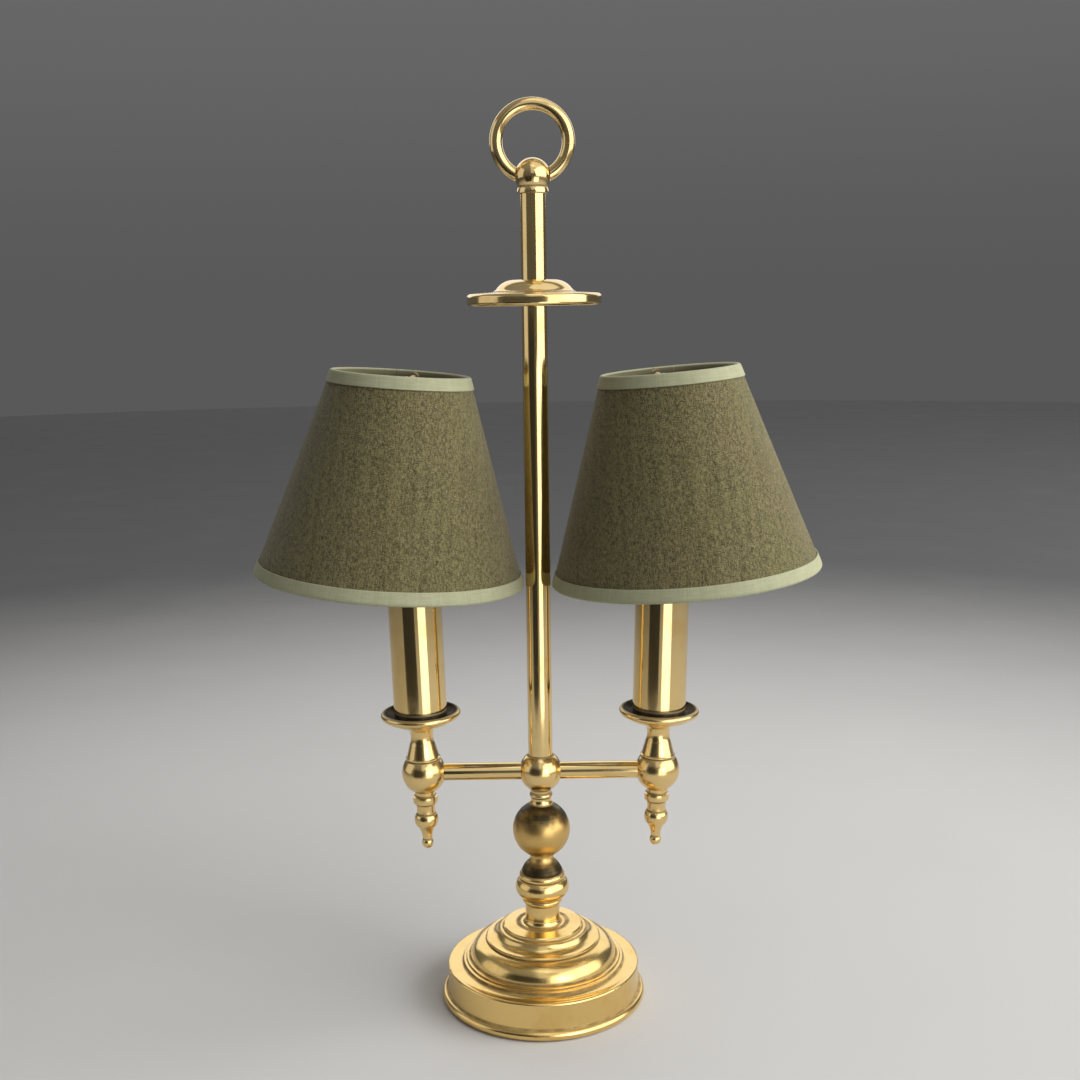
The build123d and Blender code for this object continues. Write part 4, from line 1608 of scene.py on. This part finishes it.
@dataclass
class Shade:
    """One cloth shade: linen on a lined card, edged with folded tape, on its wire frame.

    Lengths are in metres.

    Attributes:
        effects: The shared node groups.
        side: The side that it is on.
        tilt: Angle by which it tips towards the column at rest.
        top_radius: Radius of the linen's cone at the top edge.
        height: Height of that cone.
        edge_set_back: How far linen and card stop short of the edges.
        linen_thickness: Thickness of the linen.
        linen_lap: Width of the linen's lap at the seam.
        linen_lap_lift: How far the lap rises, in thicknesses.
        linen_lap_rise: Where that rise starts and ends, in laps before the cut's end.
        linen_columns: Steps round the linen.
        linen_rows: Steps up the linen.
        unevenness: How far the linen lies unevenly on its card.
        unevenness_count: Uneven places per metre.
        unevenness_seed: Distance in the noise between the two shades.
        card_proud: Where the card lies, outwards from the linen's cone.
        card_thickness: Thickness of the card.
        card_rows: Steps up the card.
        card_weld: Distance within which the card's two ends join.
        tape_thickness: Thickness of the tape.
        tape_proud: Where the tape lies outside, outwards from the linen's cone.
        tape_width: How far the tape reaches up the outside.
        tape_lap: Length of the tape's lap.
        tape_lap_lift: How far that lap rises, in thicknesses.
        tape_lap_rise: Where that rise starts and ends, in laps before the tape's end.
        tape_columns: Steps along the tape.
        tape_rows: Steps across the tape.
        tape_ripple: How far the tape's loose edge ripples.
        tape_ripple_start: Run from which it ripples.
        tape_ripple_counts: Ripples per metre along the tape and across it.
        tape_ripple_seeds: Distance in the noise for the side and for a metre of radius.
        wall: Thickness of linen and card together.
        wire_run: Run of the wire's middle from the edge.
        wire_shift: How far the cone's slope moves the tape over that wire.
        wire_reach: How far the tape stands inwards over the wire.
        tape_climb: Run over which the tape climbs the wire.
        tape_tail: Run of the tape's flat end inside.
        edge_middle: Where the fold's middle lies, outwards from the linen's cone.
        section_steps: Steps in each curve of the tape's section.
    """

    effects: Effects
    side: Side
    tilt: float = math.radians(4.7)
    top_radius: float = 32.4 * MM
    height: float = 98.5 * MM
    edge_set_back: float = 1.3 * MM
    linen_thickness: float = 0.45 * MM
    linen_lap: float = 9 * MM
    linen_lap_lift: float = 0.8
    linen_lap_rise: Pair = (1.4, 0.9)
    linen_columns: int = 300
    linen_rows: int = 40
    unevenness: float = 0.12 * MM
    unevenness_count: float = 60.0
    unevenness_seed: float = 5.0
    card_proud: float = -0.5 * MM
    card_thickness: float = 0.55 * MM
    card_rows: int = 10
    card_weld: float = 0.01 * MM
    tape_thickness: float = 0.5 * MM
    tape_proud: float = 0.34 * MM
    tape_width: float = 6.4 * MM
    tape_lap: float = 11 * MM
    tape_lap_lift: float = 0.9
    tape_lap_rise: Pair = (1.3, 0.9)
    tape_columns: int = 260
    tape_rows: int = 36
    tape_ripple: float = 0.1 * MM
    tape_ripple_start: float = 2 * MM
    tape_ripple_counts: Pair = (90.0, 120.0)
    tape_ripple_seeds: Pair = (3.0, 100.0)
    wall: float = 1.14 * MM
    wire_run: float = 3.15 * MM
    wire_shift: float = 0.76 * MM
    wire_reach: float = 3.95 * MM
    tape_climb: float = 3.2 * MM
    tape_tail: float = 0.9 * MM
    edge_middle: float = -0.5 * MM
    section_steps: int = 12

    def __post_init__(self) -> None:
        """Work out the shade's cone and its place from its solid."""
        low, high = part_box(f"shade_cover_{self.side.word}")
        radius = (high.y - low.y) / 2
        self.cone = Cone(radius, self.top_radius, self.height)
        foot = low.z + radius * math.sin(self.tilt)
        self.axis = AxisFrame(((low.x + high.x) / 2, 0.0, foot), -self.side.value * self.tilt)
        self.body = f"shade_{self.side.word}"

    def dress(self) -> None:
        """Model the shade's soft pieces and give its wires their finish."""
        word = self.side.word
        self.hang_linen()
        self.line_card()
        for rim in Rim:
            self.bind_edge(rim)
        wire = WIRE.build(self.effects, f"shade_wire_{word}", self.axis)
        for piece in ("shade_ring_top", "shade_ring_bottom", "shade_clip"):
            dress(f"{piece}_{word}", wire)

    def lapped_angle(self, share: float, lap: float) -> float:
        """Angle round the axis for a share of a cut that laps at the back."""
        return (2 * math.pi + lap) * (share - 0.5)

    def lap_rise(self, angle: float, lap: float, rise: Pair) -> float:
        """Share of its lift that a lap has at an angle.

        Args:
            angle: Angle round the axis.
            lap: Angle of the lap.
            rise: Where the rise starts and ends, in laps before the cut's end.

        Returns:
            A share from zero to one.
        """
        start, end = rise
        return smoothstep(angle, math.pi - start * lap, math.pi - end * lap)

    def hang_linen(self) -> bpy.types.Object:
        """Model the linen with its glued lap at the back.

        Returns:
            The linen.
        """
        cone, matrix = self.cone, self.axis.matrix
        lap = self.linen_lap / cone.bottom_radius
        length = cone.slant - 2 * self.edge_set_back

        def roll(across: float, up: float) -> tuple[Vector, Pair]:
            """Roll one place of the linen onto the shade.

            Args:
                across: Share of the cut's width.
                up: Share of the cut's height.

            Returns:
                The place on the lamp and the place on the flat cut.
            """
            angle = self.lapped_angle(across, lap)
            run = self.edge_set_back + up * length
            flat = cone.flat(angle, run)
            count = self.unevenness_count
            seed = Vector((flat[0] * count, flat[1] * count, self.side.value * self.unevenness_seed))
            proud = -self.unevenness * (0.5 + 0.5 * noise.noise(seed))
            lift = self.lap_rise(angle, lap, self.linen_lap_rise)
            proud += self.linen_thickness * self.linen_lap_lift * lift
            return matrix @ cone.spot(angle, run, proud), flat

        bm = roll_cloth(self.linen_columns, self.linen_rows, roll)
        word = self.side.word
        name = f"shade_linen_{word}"
        linen = make_piece(name, bm, LINEN.build(self.effects, name))
        thicken(linen, self.linen_thickness, -1)
        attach(linen, self.body)
        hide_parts(f"shade_cover_{word}")
        cone.cut_size(lap)
        cone.cut_area(lap)
        return linen

    def line_card(self) -> bpy.types.Object:
        """Model the lined card that stiffens the linen.

        Returns:
            The card.
        """
        cone, matrix = self.cone, self.axis.matrix
        length = cone.slant - 2 * self.edge_set_back

        def roll(across: float, up: float) -> tuple[Vector, Pair]:
            """Roll one place of the card onto the shade.

            Args:
                across: Share of the cut's width.
                up: Share of the cut's height.

            Returns:
                The place on the lamp and the place on the flat cut.
            """
            angle = self.lapped_angle(across, 0.0)
            run = self.edge_set_back + up * length
            spot = cone.spot(angle, run, self.card_proud - self.unevenness)
            return matrix @ spot, cone.flat(angle, run)

        bm = roll_cloth(self.linen_columns, self.card_rows, roll)
        bmesh.ops.remove_doubles(bm, verts=bm.verts[:], dist=self.card_weld)
        word = self.side.word
        card = make_piece(f"shade_card_{word}", bm, PAPER.build(self.effects, f"shade_lining_{word}"))
        thicken(card, self.card_thickness, -1)
        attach(card, self.body)
        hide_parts(f"shade_cover_{word}")
        return card

    def tape_section(self, rim: Rim) -> Section:
        """Follow the tape from its end inside the shade, over the wire and the edge, to the outside.

        Args:
            rim: The edge that it binds.

        Returns:
            The tape's section, as runs from the edge and distances outwards from the flank.
        """
        inside = -self.wall - self.tape_thickness / 2
        shift = self.wire_shift if rim is Rim.BOTTOM else -self.wire_shift
        wire = self.wire_run + shift
        crest = -self.wire_reach
        fold = self.tape_thickness / 2
        turns = [math.pi / 2 * step / self.section_steps for step in range(self.section_steps + 1)]
        places = [(wire + self.tape_climb + self.tape_tail, inside)]
        for turn in turns:
            climb = smoothstep(turn, turns[0], turns[-1])
            run = wire + self.tape_climb * (1 - turn / turns[-1])
            places.append((run, inside + (crest - inside) * climb))
        for turn in turns[1:]:
            run = wire + (fold - wire) * math.sin(turn)
            places.append((run, self.edge_middle + (crest - self.edge_middle) * math.cos(turn)))
        for turn in turns[1:]:
            run = self.edge_set_back + (fold - self.edge_set_back) * math.cos(turn)
            proud = self.edge_middle + (self.tape_proud - self.edge_middle) * math.sin(turn)
            places.append((run, proud))
        places.append((self.tape_width, self.tape_proud))
        return Section(tuple(places))

    def bind_edge(self, rim: Rim) -> bpy.types.Object:
        """Model the tape that is folded over one edge.

        Args:
            rim: The edge.

        Returns:
            The tape.
        """
        cone, matrix, word = self.cone, self.axis.matrix, self.side.word
        radius = cone.bottom_radius if rim is Rim.BOTTOM else cone.top_radius
        counts, seeds = self.tape_ripple_counts, self.tape_ripple_seeds
        lap = self.tape_lap / radius
        section = self.tape_section(rim)
        width = section.length
        line = [section.at(step / self.tape_rows) for step in range(self.tape_rows + 1)]

        def roll(along: float, across: float) -> tuple[Vector, Pair]:
            """Roll one place of the tape onto the shade.

            Args:
                along: Share of the cut's length.
                across: Share of the cut's width.

            Returns:
                The place on the lamp and the place on the flat cut.
            """
            angle = self.lapped_angle(along, lap)
            share = across if rim is Rim.BOTTOM else 1 - across
            run, proud = line[round(share * self.tape_rows)]
            seed = self.side.value * seeds[0] + radius * seeds[1]
            ripple = noise.noise(Vector((angle * radius * counts[0], run * counts[1], seed)))
            proud += self.tape_ripple * ripple * smoothstep(run, self.tape_ripple_start, self.tape_width)
            if proud > 0:
                lift = self.lap_rise(angle, lap, self.tape_lap_rise)
                proud += self.tape_thickness * self.tape_lap_lift * lift
            if rim is Rim.TOP:
                run = cone.slant - run
            return matrix @ cone.spot(angle, run, proud), (angle * radius, share * width)

        bm = roll_cloth(self.tape_columns, self.tape_rows, roll)
        name = f"shade_tape_{rim.value}_{word}"
        tape = make_piece(name, bm, TAPE.build(self.effects, name))
        thicken(tape, self.tape_thickness, 0)
        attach(tape, self.body)
        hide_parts(f"shade_trim_{rim.value}_{word}")
        return tape


@dataclass(frozen=True)
class SoftBox:
    """A soft panel of light aimed at the lamp.

    Attributes:
        azimuth: Degrees round from the camera's side, to the camera's right.
        elevation: Degrees above the horizon.
        distance: Distance from the lamp's middle, in metres.
        width: Panel width in metres.
        height: Panel height in metres.
        radiance: Its brightness, where one shows as white.
        mirrored: Whether polished metal shows it.
        lighting: Whether it lights cloth and floor.
    """

    azimuth: float
    elevation: float
    distance: float
    width: float
    height: float
    radiance: float
    mirrored: bool = True
    lighting: bool = True

    def place(self, name: str, aim: Vector) -> bpy.types.Object:
        """Put the panel in the studio.

        Args:
            name: The panel's name.
            aim: The point that it faces.

        Returns:
            The panel.
        """
        light = bpy.data.lights.new(name, "AREA")
        light.shape = "RECTANGLE"
        light.size, light.size_y = self.width, self.height
        light.energy = self.radiance * math.pi * self.width * self.height
        turn, rise = math.radians(self.azimuth), math.radians(self.elevation)
        level = math.cos(rise)
        back = Vector((math.sin(turn) * level, -math.cos(turn) * level, math.sin(rise)))
        panel = bpy.data.objects.new(name, light)
        panel.location = aim + back * self.distance
        panel.rotation_mode = "QUATERNION"
        panel.rotation_quaternion = (-back).to_track_quat("-Z", "Y")
        panel.visible_camera = False
        panel.visible_glossy = self.mirrored
        panel.visible_diffuse = self.lighting
        bpy.context.scene.collection.objects.link(panel)
        return panel


@dataclass
class Studio:
    """The plain studio: a pale floor, soft panels of light and the camera of the photograph.

    Lengths are in metres and angles in radians, apart from the panels' and the card's degrees.

    Attributes:
        floor_radius: Radius of the floor.
        floor_segments: Steps round the floor.
        floor_near: Distance from the lamp up to which the floor is painted as fully lit.
        floor_far: Distance from which its painted light has fallen off to its painted shade.
        floor_drop: How far it lies below the lamp's foot, so that the two don't share a face.
        floor_colour: Its painted lit colour by the lamp.
        floor_shade: Its painted shade far away.
        floor_cloud_count: Clouds on the floor per metre.
        floor_cloud_share: How far those clouds move the fall-off.
        floor_tooth_count: Grains of the floor per metre.
        floor_rough_range: Its roughness over that grain.
        room_low: Brightness of the room at the horizon.
        room_high: Brightness where the wall ends.
        room_rise: Height of the wall's end, as a share of straight up.
        ceiling: How much brighter the room is straight up.
        card_azimuth: Direction of the dark card from the camera's side.
        card_distance: Its distance from the column.
        card_width: Its width.
        card_height: Its height.
        card_colour: Its colour.
        card_rough: Its roughness.
        panels: The panels of light, each with its name.
        lens: The camera's focal length in millimetres.
        sensor: Width of its picture in millimetres.
        camera_place: Where it stands.
        camera_pan: Its turn to the right.
        camera_pitch: Its tilt downwards.
        camera_roll: Its roll.
        camera_range: The nearest and farthest distance that it sees.
    """

    floor_radius: float = 4.5
    floor_segments: int = 96
    floor_near: float = 0.3
    floor_far: float = 1.3
    floor_drop: float = 0.05 * MM
    floor_colour: Colour = (0.56, 0.55, 0.535)
    floor_shade: Colour = (0.13, 0.13, 0.13)
    floor_cloud_count: float = 9.0
    floor_cloud_share: float = 0.08
    floor_tooth_count: float = 120.0
    floor_rough_range: Pair = (0.6, 0.7)
    room_low: float = 0.1
    room_high: float = 0.14
    room_rise: float = 0.25
    ceiling: float = 0.14
    card_azimuth: float = -30.0
    card_distance: float = 0.5
    card_width: float = 0.45
    card_height: float = 0.34
    card_colour: Colour = (0.02, 0.02, 0.02)
    card_rough: float = 0.9
    panels: tuple[tuple[str, SoftBox], ...] = (
        (
            "window_panel",
            SoftBox(azimuth=60, elevation=22.5, distance=3.2, width=5.2, height=3.0, radiance=2.0),
        ),
        (
            "window_fill",
            SoftBox(
                azimuth=80, elevation=26, distance=3.2, width=3.4, height=2.6, radiance=3.6, mirrored=False
            ),
        ),
        (
            "low_panel",
            SoftBox(
                azimuth=26, elevation=-8, distance=0.5, width=0.3, height=0.3, radiance=1.7, lighting=False
            ),
        ),
        (
            "front_panel",
            SoftBox(
                azimuth=0, elevation=45, distance=1.2, width=0.42, height=1.1, radiance=0.5, lighting=False
            ),
        ),
        (
            "back_panel",
            SoftBox(azimuth=180, elevation=27, distance=8.0, width=14.0, height=6.0, radiance=1.0),
        ),
        (
            "top_panel",
            SoftBox(azimuth=70, elevation=70, distance=1.5, width=1.6, height=1.3, radiance=0.7),
        ),
        (
            "left_panel",
            SoftBox(
                azimuth=-86, elevation=14, distance=3.2, width=2.6, height=2.8, radiance=0.6, lighting=False
            ),
        ),
    )
    lens: float = 45.833
    sensor: float = 36.0
    camera_place: Place = (0.0, -0.6507765, 0.3413812)
    camera_pan: float = 0.0018163
    camera_pitch: float = 0.166374
    camera_roll: float = -0.0132407
    camera_range: Pair = (0.01, 50.0)

    def set_up(self) -> None:
        """Build the floor, the light and the camera."""
        self.lay_floor()
        self.stand_card()
        self.light()
        self.aim_camera()

    def lay_floor(self) -> None:
        """Model the floor as a wide disc, painted pale by the lamp and darker far away as a painted pool of
        light.
        """
        bm = bmesh.new()
        bmesh.ops.create_circle(bm, cap_ends=True, segments=self.floor_segments, radius=self.floor_radius)
        bmesh.ops.translate(bm, verts=bm.verts[:], vec=(0, 0, -self.floor_drop))
        sheet = MaterialSheet("studio_floor")
        here = sheet.place(COLUMN_AXIS)
        tooth = sheet.noise(here, self.floor_tooth_count, detail=3.0)
        away = sheet.add("VectorMath", {0: here}, operation="LENGTH").outputs["Value"]
        # A painted pool of light: pale by the lamp, falling off to painted shade far away.
        far = sheet.spread(away, self.floor_near, self.floor_far)
        clouds = sheet.noise(here, self.floor_cloud_count, detail=3.0)
        uneven = sheet.math("SUBTRACT", clouds, NOISE_MIDDLE)
        shaded = sheet.math("MULTIPLY_ADD", uneven, self.floor_cloud_share, far)
        sheet.shade(
            Base_Color=sheet.mix(shaded, self.floor_colour, self.floor_shade),
            Roughness=sheet.spread(tooth, *NOISE_LEVELS, *self.floor_rough_range),
            Specular_IOR_Level=0.0,
        )
        make_piece("studio_floor", bm, sheet.material)

    def stand_card(self) -> None:
        """Stand a dark card beside the camera, which polished metal shows as a dark band."""
        turn = math.radians(self.card_azimuth)
        bm = bmesh.new()
        bmesh.ops.create_grid(bm, x_segments=1, y_segments=1, size=0.5)
        bmesh.ops.scale(bm, verts=bm.verts[:], vec=(self.card_width, self.card_height, 1.0))
        spot = Matrix.Translation((0.0, -self.card_distance, self.card_height / 2))
        upright = Matrix.Rotation(math.pi / 2, 4, "X")
        stand = Matrix.Rotation(turn, 4, "Z") @ spot @ upright
        bmesh.ops.transform(bm, verts=bm.verts[:], matrix=stand)
        sheet = MaterialSheet("studio_card")
        sheet.shade(Base_Color=self.card_colour, Roughness=self.card_rough)
        card = make_piece("studio_card", bm, sheet.material)
        card.visible_camera = card.visible_diffuse = card.visible_shadow = False

    def light(self) -> None:
        """Set the even light of the room and the soft panels."""
        world = bpy.data.worlds.new("studio_room")
        world.use_nodes = True
        room = Wiring(world.node_tree)
        upward = room.add("SeparateXYZ", {0: room.add("TexCoord").outputs["Generated"]}).outputs[2]
        wall = room.spread(upward, 0.0, self.room_rise, self.room_low, self.room_high)
        level = room.math("ADD", wall, room.spread(upward, self.room_rise, 1.0, 0.0, self.ceiling))
        room.feed(world.node_tree.nodes["Background"].inputs["Color"], level)
        bpy.context.scene.world = world
        low, high = CAD_BOX
        middle = (low + high) / 2
        for name, panel in self.panels:
            panel.place(name, middle)

    def aim_camera(self) -> None:
        """Put the camera where the photograph was taken from."""
        pan, pitch, roll = self.camera_pan, self.camera_pitch, self.camera_roll
        ahead = Vector((math.sin(pan), math.cos(pan), 0.0))
        level = Vector((math.cos(pan), -math.sin(pan), 0.0))
        upright = Vector((0.0, 0.0, 1.0))
        look = ahead * math.cos(pitch) - upright * math.sin(pitch)
        rise = ahead * math.sin(pitch) + upright * math.cos(pitch)
        right = level * math.cos(roll) + rise * math.sin(roll)
        up = rise * math.cos(roll) - level * math.sin(roll)
        turn = Matrix((right, up, -look)).transposed()
        data = bpy.data.cameras.new("photo_camera")
        data.lens = self.lens
        data.sensor_width = self.sensor
        data.clip_start, data.clip_end = self.camera_range
        camera = bpy.data.objects.new("photo_camera", data)
        camera.matrix_world = Matrix.Translation(self.camera_place) @ turn.to_4x4()
        scene = bpy.context.scene
        scene.collection.objects.link(camera)
        scene.camera = camera
        scene.view_settings.view_transform = "Standard"


def main() -> None:
    """Dress the lamp piece by piece, and set up the studio."""
    logging.basicConfig(level=logging.INFO, format="%(message)s")
    effects = Effects()
    parts = [Base(effects), Stem(effects), Column(effects)]
    for side in Side:
        parts += [Candle(effects, side), Bulb(effects, side), Shade(effects, side)]
    for part in parts:
        part.dress()
    Studio().set_up()


if __name__ == "__main__":
    main()
